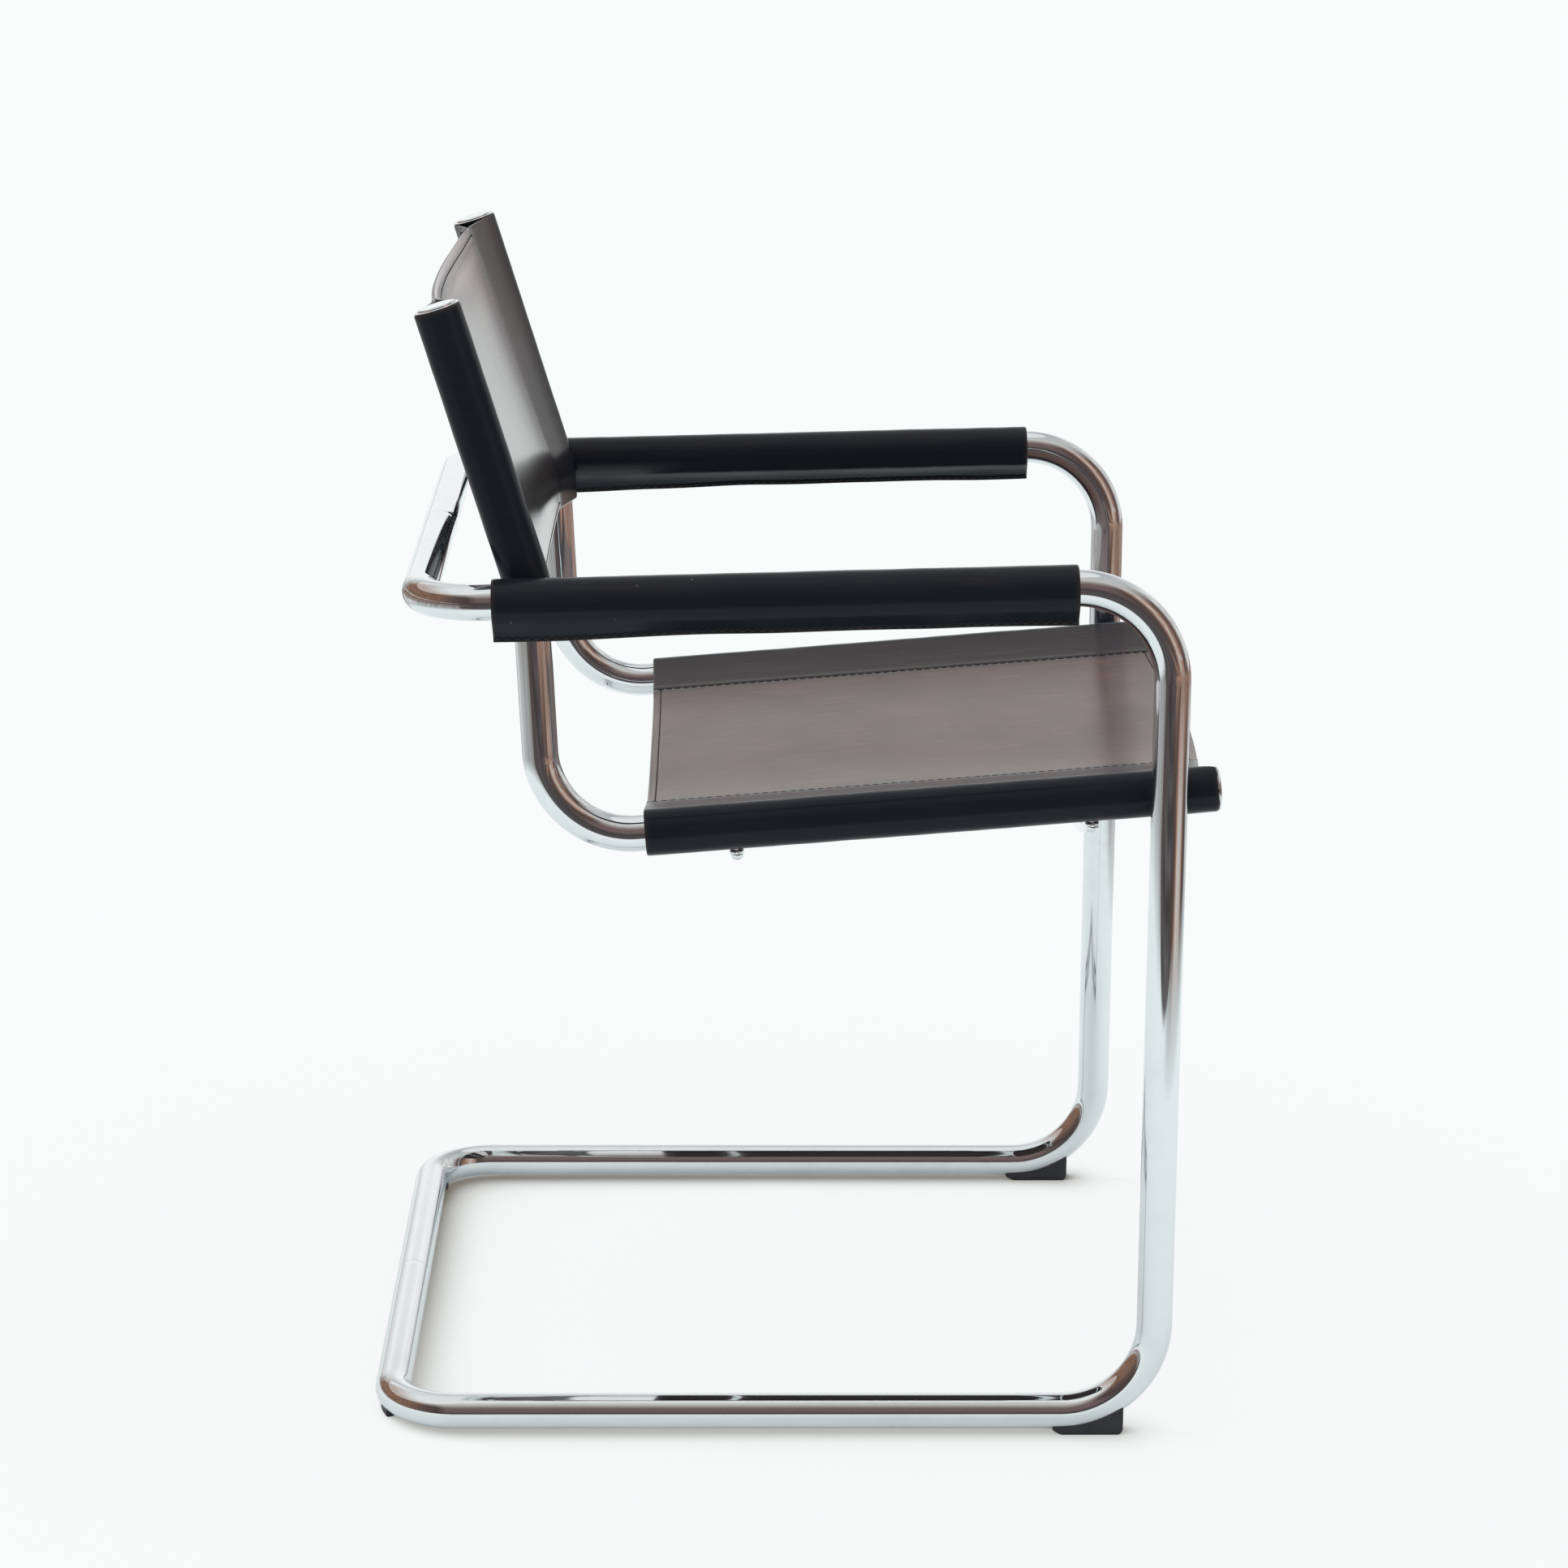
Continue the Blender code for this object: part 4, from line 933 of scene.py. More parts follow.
def on_corner(side, angle, radius):
    """Floor point at an angle round a rear corner of the sled, from the floor bar towards the runner."""
    turn, straight = max(angle, 0), min(angle, 0) * CORNER_BEND_RADIUS
    centre = Vector((side * (FRAME_X - CORNER_BEND_RADIUS + straight), FLOOR_BAR_Y - CORNER_BEND_RADIUS, 0))
    return centre + Vector((side * math.sin(turn), math.cos(turn), 0)) * radius


def make_rear_glides(finishes):
    """Feet that follow the rear corners of the sled, rounded below."""
    half = GLIDE_WIDTH / 2
    section = [(-half, RUNNER_Z)]
    for centre, first in ((-half + REAR_GLIDE_EDGE, 180), (half - REAR_GLIDE_EDGE, 270)):
        for step in range(5):
            angle = math.radians(first + 90 * step / 4)
            across = centre + REAR_GLIDE_EDGE * math.cos(angle)
            section.append((across, REAR_GLIDE_EDGE * (1 + math.sin(angle))))
    section.append((half, RUNNER_Z))
    for name, side in SIDES.items():
        bm = bmesh.new()
        rings = []
        for step in range(17):
            angle = REAR_GLIDE_START + (REAR_GLIDE_END - REAR_GLIDE_START) * step / 16
            rings.append([bm.verts.new(on_corner(side, angle, CORNER_BEND_RADIUS + across) + UP * up)
                          for across, up in section])
        bridge(bm, rings)
        bm.faces.new(rings[0])
        bm.faces.new(rings[-1])
        glide = solid_object(name + "_rear_foot", bm, finishes.plastic)
        dress(glide, "black_plastic", name + "_rear_glide")


# Leather

def hump(distance, width):
    """Smooth bump of height 1 that fades out over a width."""
    return math.exp(-(distance / width) ** 2)


def eased(value, low, high):
    """Share from 0 to 1 between two values, smooth at both ends."""
    share = min(max((value - low) / (high - low), 0.0), 1.0)
    return share * share * (3 - 2 * share)


def uneven(point, size):
    """Slow unevenness of hide, from -1 to 1."""
    return noise.noise(point / size)


def skin_normals(line):
    """Unit normals on the left of a line of flat points."""
    normals = []
    for index in range(len(line)):
        run = line[min(index + 1, len(line) - 1)] - line[max(index - 1, 0)]
        normals.append(Vector((-run.y, run.x)).normalized())
    return normals


def flat_length(points):
    """Length of a line through points."""
    return sum((two - one).length for one, two in zip(points, points[1:]))


def leather_shell(name, rows, finish):
    """Closed leather from rows of (outer point, inner point, worn, edge, gloss)."""
    count = len(rows[0])
    points, values = [], {"worn": [], "edge": [], "gloss": []}
    for row in rows:
        for outer, inner, rubbed, cut, burnished in row:
            points += [outer, inner]
            values["worn"] += [rubbed, rubbed * INNER_WEAR]
            values["edge"] += [cut, cut]
            values["gloss"] += [burnished, 0.0]

    def at(row, column, face):
        return (row * count + column) * 2 + face

    faces = []
    for row in range(len(rows) - 1):
        for column in range(count - 1):
            for face in (0, 1):
                faces.append((at(row, column, face), at(row, column + 1, face),
                              at(row + 1, column + 1, face), at(row + 1, column, face)))
        for column in (0, count - 1):
            faces.append((at(row, column, 0), at(row, column, 1),
                          at(row + 1, column, 1), at(row + 1, column, 0)))
    for row in (0, len(rows) - 1):
        for column in range(count - 1):
            faces.append((at(row, column, 0), at(row, column + 1, 0),
                          at(row, column + 1, 1), at(row, column, 1)))
    mesh = bpy.data.meshes.new(name)
    mesh.from_pydata(points, [], faces)
    for label, numbers in values.items():
        mesh.attributes.new(label, "FLOAT", "POINT").data.foreach_set("value", numbers)
    bm = bmesh.new()
    bm.from_mesh(mesh)
    bmesh.ops.recalc_face_normals(bm, faces=bm.faces[:])
    bm.to_mesh(mesh)
    bm.free()
    mesh.shade_smooth()
    mesh.set_sharp_from_angle(angle=math.radians(60))
    mesh.materials.append(finish)
    return new_object(name, mesh)


def edge_thickness(distance):
    """Share of the full thickness at a distance from a cut edge, whose corners are rubbed round."""
    return 0.5 + 0.5 * eased(distance, -0.0003, 0.0012)


class Sling:
    """Leather sewn round both inner tubes, between two distances along them.

    Heights of the stitch lines, sags of the sheet between them, cut-backs (trims) and wear are pairs, for the
    start and the end. The seams pull the sheet in, and the bands beside them ease away over a short way.
    """

    def __init__(self, start, end, heights, sags, power, stitch_inset, ease, trims, wear, pull, gloss):
        self.route = Route(inner_route(0))
        self.start, self.end = start, end
        self.heights, self.sags, self.power = heights, sags, power
        self.stitch_x = RAIL_X - stitch_inset
        self.ease, self.trims, self.wear = ease, trims, wear
        self.pull, self.gloss = pull, gloss

    def half_line(self, share):
        """(point, zone, along) from the middle of the sheet round a tunnel to the free edge of the flap.

        Points are (across, towards the sitter), from a line between the two tube axes.
        The sheet sags between the stitch lines. Bands curve away from these and run straight to the tunnels.
        On a tunnel, along is the share of the way round it, and on a flap the distance to the free edge.
        """
        stitch = self.stitch_x
        height = self.heights[0] + (self.heights[1] - self.heights[0]) * share
        sag = self.sags[0] + (self.sags[1] - self.sags[0]) * share ** SAG_FADE
        slope = sag * self.power / stitch
        pivot = stitch
        for _ in range(6):
            to_pivot = Vector((pivot - RAIL_X, height))
            lean = -math.atan2(to_pivot.x, to_pivot.y) - math.acos(TUNNEL_RADIUS / to_pivot.length)
            pivot = stitch + self.ease * (1 - slope / math.tan(lean))
        edge = Vector((RAIL_X - TUNNEL_RADIUS * math.sin(lean), TUNNEL_RADIUS * math.cos(lean)))

        def sheet(x):
            out = x - stitch
            if out <= 0:
                return Vector((x, height - sag * (1 - (x / stitch) ** self.power)))
            turned = self.ease * (1 - math.exp(-out / self.ease))
            return Vector((x, height + slope * out + (math.tan(lean) - slope) * (out - turned)))

        def under_sheet(x):
            run = (sheet(x + 0.0005) - sheet(x - 0.0005)) / 0.001
            return sheet(x) - Vector((0, (LEATHER + CLEARANCE) * run.length))

        across = [(stitch - 0.005) * step / SHEET_STEPS for step in range(SHEET_STEPS + 1)]
        across += [stitch + offset / 1000 for offset in range(-4, 7)]
        outward = edge.x - stitch - 0.006
        across += [stitch + 0.006 + outward * step / BAND_STEPS for step in range(1, BAND_STEPS)]
        line = [(sheet(x), "sheet", 0.0) for x in across]
        meet, free_edge = under_sheet(stitch + FLAP_MARGIN), under_sheet(stitch - FLAP_MARGIN)
        to_meet = meet - Vector((RAIL_X, 0))
        leave = math.atan2(to_meet.x, to_meet.y) + 2 * math.pi - math.acos(TUNNEL_RADIUS / to_meet.length)
        for step in range(TUNNEL_STEPS + 1):
            angle = -lean + (leave + lean) * step / TUNNEL_STEPS
            point = Vector((RAIL_X + TUNNEL_RADIUS * math.sin(angle), TUNNEL_RADIUS * math.cos(angle)))
            line.append((point, "tunnel", step / TUNNEL_STEPS))
        last = line[-1][0]
        line += [(last.lerp(meet, step / 8), "flap", 0.0) for step in range(1, 9)]
        run = (free_edge - meet).length
        for step in (0.25, 0.5, 0.75, 1 - 0.0013 / run, 1 - 0.0005 / run, 1.0):
            x = meet.x + (free_edge.x - meet.x) * step
            line.append((under_sheet(x), "flap", (1 - step) * run))
        return line

    def line(self, share):
        """Whole line across the sling, from flap to flap."""
        half = self.half_line(share)
        mirrored = [(Vector((-point.x, point.y)), zone, along) for point, zone, along in half[:0:-1]]
        return mirrored + half

    def trim_share(self, zone, along):
        """How much of the cut-back of the sheet and flaps reaches a place: none on the tunnels."""
        if zone == "tunnel":
            return 1 - eased(min(along, 1 - along), 0.0, 0.09)
        return 1.0

    def rows(self):
        """Rows of the leather's skin from start to end, and the columns of the two stitch lines."""
        steps = math.ceil((self.end - self.start) / LEATHER_STEP)
        last = EDGE_STEPS[-1]
        places = [("start", gap) for gap in EDGE_STEPS]
        places += [("middle", step / steps) for step in range(1, steps)]
        places += [("end", gap) for gap in EDGE_STEPS[::-1]]
        rows = []
        for kind, value in places:
            share = {"start": 0.0, "end": 1.0}.get(kind, value)
            line = self.line(share)
            worn_amount = self.wear[0] + (self.wear[1] - self.wear[0]) * eased(share, 0.1, 0.8)
            flat = [point for point, _, _ in line]
            row = []
            for (point, zone, along), normal in zip(line, skin_normals(flat)):
                across = (point.x / RAIL_X) ** 2
                cut = self.trim_share(zone, along)
                low = self.start + cut * self.trims[0](across)
                high = self.end - cut * self.trims[1](across)
                distance = {"start": low + value, "end": high - value}.get(
                    kind, low + last + (high - low - 2 * last) * value)
                to_edge = min(distance - low, high - distance)
                row.append(self.skin(point, zone, along, normal, distance, to_edge, worn_amount))
            rows.append(row)
        columns = [index for index, (point, zone, _) in enumerate(line)
                   if zone == "sheet" and abs(abs(point.x) - self.stitch_x) < 1e-6]
        return rows, columns

    def skin(self, point, zone, along, normal, distance, to_edge, worn_amount):
        """Outer and inner point of the leather at one place, with how worn, cut and burnished it is."""
        upward = sitter_side(self.route.direction(distance))
        thickness = edge_thickness(to_edge)
        relief, under, rubbed, cut, burnished = 0.0, 0.0, BLACK_WEAR, hump(to_edge, 0.002), 0.0
        if zone == "sheet":
            outboard = abs(point.x) - self.stitch_x
            relief -= self.pull * hump(outboard, 0.0011)
            relief += self.pull * 0.7 * hump(outboard - 0.0034, 0.0020)
            inside = BAND_WEAR + (1 - BAND_WEAR) * eased(-outboard, -0.002, 0.012)
            rubbed += (worn_amount - BLACK_WEAR) * inside
            burnished = self.gloss * (0.6 + 0.4 * eased(-outboard, -0.006, 0.002))
            burnished *= 1 - eased(outboard, 0.020, 0.045)
            fold = eased(-outboard, FLAP_MARGIN + 0.001, FLAP_MARGIN + 0.005)
            relief -= 0.0004 * hump(to_edge - HEM_INSET, 0.0010) * eased(-outboard, 0.0, 0.002)
            if fold and to_edge < HEM_FOLD:
                round_off = max(LEATHER - to_edge, 0.0)
                gone = LEATHER - math.sqrt(LEATHER ** 2 - round_off ** 2)
                thickness += (1 - thickness) * fold
                relief -= min(gone, LEATHER - 0.0002) * fold
                under = (LEATHER - gone) * fold
                cut *= 1 - fold
        if zone == "flap" and along:
            thickness *= edge_thickness(along)
        middle = self.route.point(distance) + ACROSS * point.x + upward * point.y
        out = ACROSS * normal.x + upward * normal.y
        for height, size in TUNNEL_WAVES if zone == "tunnel" else SHEET_WAVES:
            middle += out * height * uneven(middle, size)
        outer = middle + out * (LEATHER / 2 * thickness + relief)
        inner = middle - out * (LEATHER / 2 * thickness + under)
        return outer, inner, rubbed, cut, burnished

    def flat_size(self):
        """Width and length of the leather before it was sewn."""
        return flat_length([point for point, _, _ in self.line(0.5)]), self.end - self.start


def make_stitches(name, tree, paths, finishes):
    """Rows of thread along paths on the leather."""
    mesh = path_mesh(name, paths)
    return grown(name, mesh, tree, {
        "Pitch": STITCH_PITCH, "Stitch Length": STITCH_LENGTH, "Thread": THREAD, "Finish": finishes.thread})


def lifted(skin, share=THREAD_LIFT):
    """Place of the thread on the outer side of the leather, lifted by a share of the thread's thickness."""
    outer, inner = skin[:2]
    return outer + (outer - inner).normalized() * THREAD * share


def no_trim(across):
    """Cut-back of a straight edge."""
    return 0.0


def seat_front_trim(across):
    """Cut-back of the seat's front edge, which stands furthest forward in the middle."""
    return SEAT_FRONT_TRIM * across


def back_top_trim(across):
    """Cut-back of the back's top edge: a dip in the middle, standing up a little at the seams."""
    return BACK_TOP_DIP * (1 - across) - BACK_TOP_RISE * hump(across - 0.64, 0.22)


def make_slings(finishes, stitch_tree):
    """Seat and back, each one sheet of leather sewn round both inner tubes."""
    route = Route(inner_route(0))
    seat = Sling(
        start=0.0, end=rail_run() - SLING_TO_BEND, trims=(seat_front_trim, no_trim),
        heights=SEAT_STITCH_HEIGHTS, sags=SEAT_SAGS, power=SEAT_SAG_POWER, stitch_inset=SEAT_STITCH_INSET,
        ease=SEAT_SEAM_EASE, pull=SEAT_SEAM_PULL, wear=SEAT_WEAR, gloss=SEAT_GLOSS)
    back = Sling(
        start=joint_distance(route) - BACK_DROP, end=route.along[-1], trims=(no_trim, back_top_trim),
        heights=BACK_STITCH_HEIGHTS, sags=BACK_SAGS, power=BACK_SAG_POWER, stitch_inset=BACK_STITCH_INSET,
        ease=BACK_SEAM_EASE, pull=BACK_SEAM_PULL, wear=BACK_WEAR, gloss=BACK_GLOSS)
    hem = EDGE_STEPS.index(HEM_INSET)
    for name, sling, lift in (("seat", seat, THREAD_LIFT), ("back", back, BACK_THREAD_LIFT)):
        rows, columns = sling.rows()
        leather = leather_shell(name + "_leather", rows, finishes.leather)
        paths = [[lifted(row[column], lift) for row in rows[hem:-hem]] for column in columns]
        for row in (rows[hem], rows[-1 - hem]):
            paths.append([lifted(skin) for skin in row[columns[0]:columns[1] + 1]])
        stitches = make_stitches(name + "_stitches", stitch_tree, paths, finishes)
        dress(leather, "leather", name + "_sling")
        dress(stitches, "leather")
        sling.flat_size()


def sleeve_line(drop, swing):
    """(point, rise over the free edge, or None off the seam) round an arm, from one edge to the other."""
    radius = TUBE_RADIUS + SLEEVE_PLAY + LEATHER / 2
    centre = Vector((0, CLEARANCE - SLEEVE_PLAY))
    halves = []
    for side in (-1, 1):
        seam_x = (LEATHER + CLEARANCE) / 2 + side * swing
        seam_top = Vector((seam_x, SEAM_HEIGHT - drop))
        to_seam = seam_top - centre
        leave = math.atan2(to_seam.x, to_seam.y) - math.acos(radius / to_seam.length)
        half = []
        for step in range(41):
            angle = leave * step / 40
            half.append((centre + Vector((math.sin(angle), math.cos(angle))) * radius, None))
        last = half[-1][0]
        half += [(last.lerp(seam_top, step / 6), None) for step in range(1, 7)]
        for rise in (0.0033, 0.0026, SEAM_STITCH_RISE, 0.0014, 0.0009, 0.0004, 0.0):
            half.append((Vector((seam_x, rise - drop)), rise))
        halves.append([(Vector((side * point.x, point.y)), rise) for point, rise in half])
    return halves[0][:0:-1] + halves[1]


def sleeve_skin(origin, upward, point, rise, normal, to_edge, side):
    """Outer and inner point of a sleeve at one place, with how worn, cut and burnished it is."""
    thickness = edge_thickness(to_edge)
    relief, cut = 0.0, hump(to_edge, 0.002)
    if rise is not None:
        thickness *= edge_thickness(rise)
        relief -= 0.00035 * hump(rise - SEAM_STITCH_RISE, 0.0008)
        cut = max(cut, hump(rise, 0.0015))
    middle = origin + ACROSS * point.x + upward * point.y
    out = ACROSS * normal.x + upward * normal.y
    middle += out * sum(height * uneven(middle, size) for height, size in SLEEVE_WAVES)
    outer = middle + out * (LEATHER / 2 * thickness + relief)
    inner = middle - out * LEATHER / 2 * thickness
    worn = 0.02 + 0.05 * eased(point.y, 0.0, 0.012)
    rubbed_side = eased(-side * point.x, 0.004, 0.012) * eased(-point.y, 0.002, 0.010)
    return outer, inner, worn, cut, SLEEVE_GLOSS * rubbed_side


def make_arm_sleeves(finishes, stitch_tree):
    """Leather sleeves on the straight part of both arms, sewn together below."""
    backward = Vector((0, math.cos(ARM_FALL), -math.sin(ARM_FALL)))
    upward = Vector((0, math.sin(ARM_FALL), math.cos(ARM_FALL)))
    front = Vector((0, LEG_Y, ARM_HEIGHT))
    front += backward * (SIDE_BEND_RADIUS * math.tan((math.pi / 2 + ARM_FALL) / 2) - SLEEVE_FRONT_REACH)
    length = (arm_joint() + backward * (ARM_TAIL - SLEEVE_REAR_INSET) - front).length
    steps = math.ceil(length / LEATHER_STEP)
    last = EDGE_STEPS[-1]
    places = list(EDGE_STEPS) + [last + (length - 2 * last) * step / steps for step in range(1, steps)]
    places += [length - gap for gap in EDGE_STEPS[::-1]]
    inset = EDGE_STEPS.index(SLEEVE_STITCH_INSET)
    for name, side in SIDES.items():
        rows = []
        for distance in places:
            origin = front + backward * distance + ACROSS * side * FRAME_X
            drop = SEAM_DROP + SEAM_WAVE * uneven(origin, 0.06)
            drop += SEAM_SAG * eased(distance, length * 0.55, length)
            line = sleeve_line(drop, SEAM_SWING * uneven(origin + UP, 0.05))
            flat = [point for point, _ in line]
            to_edge = min(distance, length - distance)
            rows.append([sleeve_skin(origin, upward, point, rise, normal, to_edge, side)
                         for (point, rise), normal in zip(line, skin_normals(flat))])
        sleeve = leather_shell(name + "_arm_leather", rows, finishes.leather)
        columns = [index for index, (_, rise) in enumerate(line) if rise == SEAM_STITCH_RISE]
        paths = [[lifted(row[column]) for row in rows[inset:-inset]] for column in columns]
        stitches = make_stitches(name + "_arm_stitches", stitch_tree, paths, finishes)
        dress(sleeve, "leather", name + "_arm_sleeve")
        dress(stitches, "leather")


# Stage

def paint_hardware(finishes):
    """Materials for the small CAD parts that stay."""
    for name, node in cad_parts.items():
        if node.hide_render:
            continue
        for slot in node.material_slots:
            slot.material = finishes.plastic if "spacer" in name else finishes.zinc


def make_world(side_room):
    """Even white light. Glossy surfaces see a white studio with a dim brown room on the viewer's side."""
    world = bpy.data.worlds.new("studio")
    bpy.context.scene.world = world
    world.use_nodes = True
    tree = world.node_tree
    tree.nodes.clear()
    place = tree.nodes.new("ShaderNodeTexCoord").outputs["Generated"]
    parts = add_node(tree, "ShaderNodeSeparateXYZ", {0: place}).outputs
    towards = product(tree, parts["X"], -1.0)
    turn = maths(tree, "DIVIDE", maths(tree, "ARCTAN2", parts["Z"], towards), math.pi)
    ahead = ramp_colour(tree, turn, [
        (0.000, (0.050, 0.042, 0.042)), (0.045, (0.10, 0.075, 0.075)), (0.11, (0.18, 0.12, 0.12)),
        (0.18, (0.17, 0.115, 0.11)), (0.23, (0.24, 0.18, 0.165)), (0.29, (0.41, 0.36, 0.34)),
        (0.35, (0.62, 0.60, 0.57)), (0.45, (0.55, 0.56, 0.55)), (0.62, (0.54, 0.56, 0.56)),
        (0.74, (0.42, 0.43, 0.44)), (0.83, (0.62, 0.63, 0.64)), (0.90, (0.97, 0.98, 0.98)),
    ])
    sides = add_node(tree, "ShaderNodeGroup", {"Direction": place}, node_tree=side_room).outputs
    room = mixed_colour(tree, sides["Mask"], ahead, sides["Colour"])
    path = tree.nodes.new("ShaderNodeLightPath").outputs
    deeper = maths(tree, "GREATER_THAN", path["Glossy Depth"], 1.5)
    room = mixed_colour(tree, deeper, room, (0.58, 0.56, 0.59, 1))
    even = add_node(tree, "ShaderNodeBackground", {"Color": (0.97, 1.0, 1.0, 1), "Strength": 0.92})
    seen = add_node(tree, "ShaderNodeBackground", {"Color": (0.916, 0.948, 0.941, 1), "Strength": 1.0})
    mirrored = add_node(tree, "ShaderNodeBackground", {"Color": room, "Strength": 1.0})
    glossy = maths(tree, "MAXIMUM", path["Is Glossy Ray"], path["Is Transmission Ray"])
    first = add_node(tree, "ShaderNodeMixShader", {0: glossy, 1: even.outputs[0], 2: mirrored.outputs[0]})
    second = add_node(tree, "ShaderNodeMixShader", {
        0: path["Is Camera Ray"], 1: first.outputs[0], 2: seen.outputs[0]})
    output = tree.nodes.new("ShaderNodeOutputWorld")
    tree.links.new(second.outputs[0], output.inputs["Surface"])


def floor_beyond(tree, place, side_room):
    """Colour that glossy surfaces see on the floor outside its pale part, and the share they see of it."""
    parts = add_node(tree, "ShaderNodeSeparateXYZ", {0: place}).outputs
    x, y = parts["X"], parts["Y"]
    beyond = rescaled(tree, x, -1.20, -1.27, 0.0, 1.0)
    stretched = add_node(tree, "ShaderNodeVectorMath", {0: place, 1: (6.0, 0.4, 1.0)}, operation="MULTIPLY")
    boards = noise_value(tree, stretched.outputs[0], 1.0, 2.0)
    brown = mixed_colour(tree, rescaled(tree, x, -1.7, -2.1, 0.0, 1.0),
                         (0.135, 0.125, 0.125, 1), (0.110, 0.095, 0.100, 1))
    dim = mixed_colour(tree, rescaled(tree, boards, 0.42, 0.58, 0.0, 0.85), brown, (0.05, 0.04, 0.04, 1))
    reach = add_node(tree, "ShaderNodeVectorMath", {0: place}, operation="LENGTH").outputs["Value"]
    rise = product(tree, reach, rescaled(tree, reach, 4.0, 6.0, 0.0, 0.07))
    direction = add_node(tree, "ShaderNodeCombineXYZ", {"X": x, "Y": y, "Z": rise}).outputs[0]
    sides = add_node(tree, "ShaderNodeGroup", {"Direction": direction}, node_tree=side_room).outputs
    past_near = rescaled(tree, reach, 2.0, 2.6, 0.0, 1.0)
    middling = product(tree, past_near, rescaled(tree, reach, 4.0, 6.0, 1.0, 0.0))
    grains = rescaled(tree, boards, 0.40, 0.60, 0.0, 1.0)
    front = mixed_colour(tree, grains, (0.50, 0.28, 0.20, 1), (0.12, 0.08, 0.07, 1))
    rear = mixed_colour(tree, grains, (0.34, 0.25, 0.21, 1), (0.12, 0.09, 0.08, 1))
    to_front = product(tree, middling, rescaled(tree, y, -0.6, -1.2, 0.0, 0.85))
    to_rear = product(tree, middling, rescaled(tree, y, 1.7, 2.1, 0.0, 0.8))
    beside = mixed_colour(tree, to_front, sides["Colour"], front)
    beside = mixed_colour(tree, to_rear, beside, rear)
    aside = product(tree, sides["Mask"], rescaled(tree, reach, 1.1, 1.6, 0.0, 1.0))
    return mixed_colour(tree, aside, dim, beside), maths(tree, "MAXIMUM", beyond, aside)


def contact_shade(tree, place):
    """Share of painted shadow on the floor close to the chair, weaker on the viewer's side."""
    to_light = add_node(tree, "ShaderNodeCombineXYZ", {"X": 0.08, "Y": 0.62, "Z": 0.75}).outputs[0]
    open_sky = add_node(tree, "ShaderNodeAmbientOcclusion", {
        "Distance": 0.25, "Normal": to_light}, samples=16).outputs["AO"]
    shade = rescaled(tree, open_sky, 0.25, 0.80, 1.0, 0.0)
    x = add_node(tree, "ShaderNodeSeparateXYZ", {0: place}).outputs["X"]
    return product(tree, shade, rescaled(tree, x, -0.30, 0.15, 0.62, 1.0))


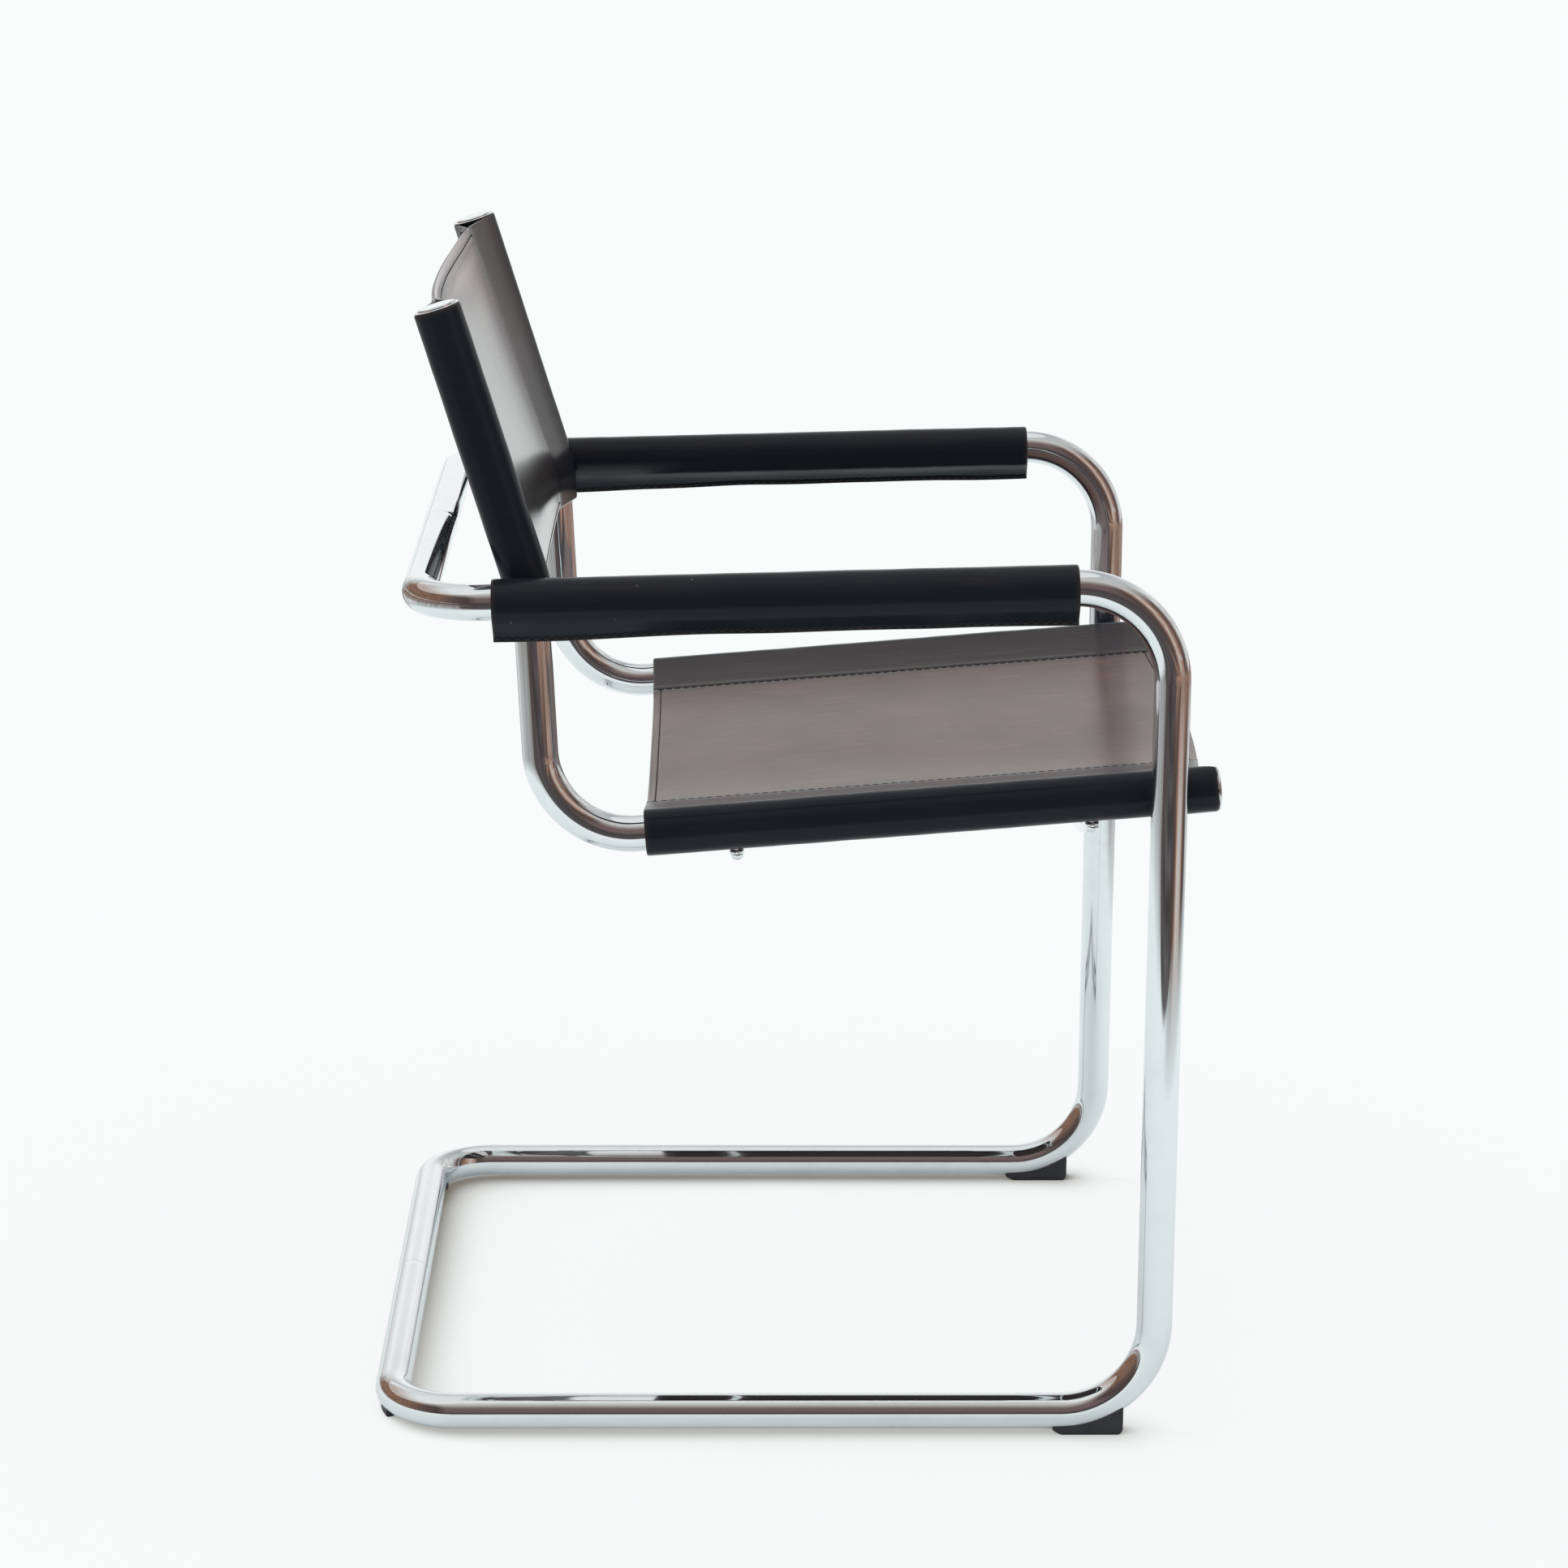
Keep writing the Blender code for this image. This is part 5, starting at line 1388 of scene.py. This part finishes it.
def make_floor(side_room):
    """Pale floor. Beyond its edges, glossy surfaces see a dim brown floor and the room instead."""
    material = bpy.data.materials.new("pale_floor")
    material.use_nodes = True
    tree = material.node_tree
    shader = tree.nodes["Principled BSDF"]
    shader.inputs["Roughness"].default_value = 0.85
    shader.inputs["Specular IOR Level"].default_value = 0.0
    place = tree.nodes.new("ShaderNodeTexCoord").outputs["Object"]
    clouds = rescaled(tree, noise_value(tree, place, 0.7, 3.0), 0.3, 0.7, 0.0, 1.0)
    pale = mixed_colour(tree, clouds, (0.900, 0.925, 0.922, 1), (0.912, 0.935, 0.932, 1))
    tree.links.new(pale, shader.inputs["Base Color"])
    colour, outside = floor_beyond(tree, place, side_room)
    room = add_node(tree, "ShaderNodeEmission", {"Color": colour, "Strength": 1.0})
    path = tree.nodes.new("ShaderNodeLightPath").outputs
    both = add_node(tree, "ShaderNodeMixShader", {
        0: product(tree, path["Is Glossy Ray"], outside), 1: shader.outputs[0], 2: room.outputs[0]})
    # The camera sees the floor mostly as an even glow, with a contact shadow painted into it from the
    # occlusion mask.
    floor_with_painted_shadow = mixed_colour(tree, contact_shade(tree, place), (0.950, 0.973, 0.969, 1), (0.15, 0.13, 0.09, 1))
    white = add_node(tree, "ShaderNodeEmission", {"Color": floor_with_painted_shadow, "Strength": 1.0})
    seen = add_node(tree, "ShaderNodeMixShader", {
        0: product(tree, path["Is Camera Ray"], 0.85), 1: both.outputs[0], 2: white.outputs[0]})
    tree.links.new(seen.outputs[0], tree.nodes["Material Output"].inputs["Surface"])
    mesh = bpy.data.meshes.new("studio_floor")
    corners = [(x * FLOOR_REACH, y * FLOOR_REACH, 0) for x, y in ((-1, -1), (1, -1), (1, 1), (-1, 1))]
    mesh.from_pydata(corners, [], [(0, 1, 2, 3)])
    mesh.materials.append(material)
    new_object("studio_floor", mesh)


def make_light():
    """One broad soft light from above and behind."""
    lamp = bpy.data.lights.new("soft_light", "SUN")
    lamp.energy = 0.35
    lamp.angle = math.radians(75)
    lamp.specular_factor = 0.0
    holder = bpy.data.objects.new("soft_light", lamp)
    holder.rotation_euler = Vector((-0.30, -0.38, -1.0)).to_track_quat("-Z", "Y").to_euler()
    bpy.context.scene.collection.objects.link(holder)


def make_camera():
    """Camera at the photograph's viewing angle."""
    yaw, pitch, roll = CAMERA_YAW, CAMERA_PITCH, CAMERA_ROLL
    forward = Vector((math.cos(yaw) * math.cos(pitch), math.sin(yaw) * math.cos(pitch), -math.sin(pitch)))
    level = Vector((math.sin(yaw), -math.cos(yaw), 0))
    upright = level.cross(forward)
    right = level * math.cos(roll) + upright * math.sin(roll)
    up = upright * math.cos(roll) - level * math.sin(roll)
    data = bpy.data.cameras.new("camera")
    data.sensor_fit = "HORIZONTAL"
    data.sensor_width = SENSOR
    data.lens = FOCAL_PIXELS / PHOTO_PIXELS * SENSOR
    data.clip_end = 200.0
    camera = bpy.data.objects.new("camera", data)
    camera.matrix_world = Matrix((right, up, -forward)).transposed().to_4x4()
    camera.location = CAMERA_PLACE
    bpy.context.scene.collection.objects.link(camera)
    bpy.context.scene.camera = camera


def main():
    """Dress the chair and set the stage."""
    bpy.context.scene.view_settings.view_transform = "Standard"
    make_camera()
    finishes = Finishes()
    make_tubes(finishes)
    parts_tree = set_of_parts_tree()
    make_caps(finishes, parts_tree)
    make_spreader_screws(finishes, parts_tree)
    make_spreaders(finishes)
    make_front_glides(finishes)
    make_rear_glides(finishes)
    stitch_tree = stitch_row_tree()
    make_slings(finishes, stitch_tree)
    make_arm_sleeves(finishes, stitch_tree)
    paint_hardware(finishes)
    side_room = side_room_group()
    make_world(side_room)
    make_floor(side_room)
    make_light()


main()
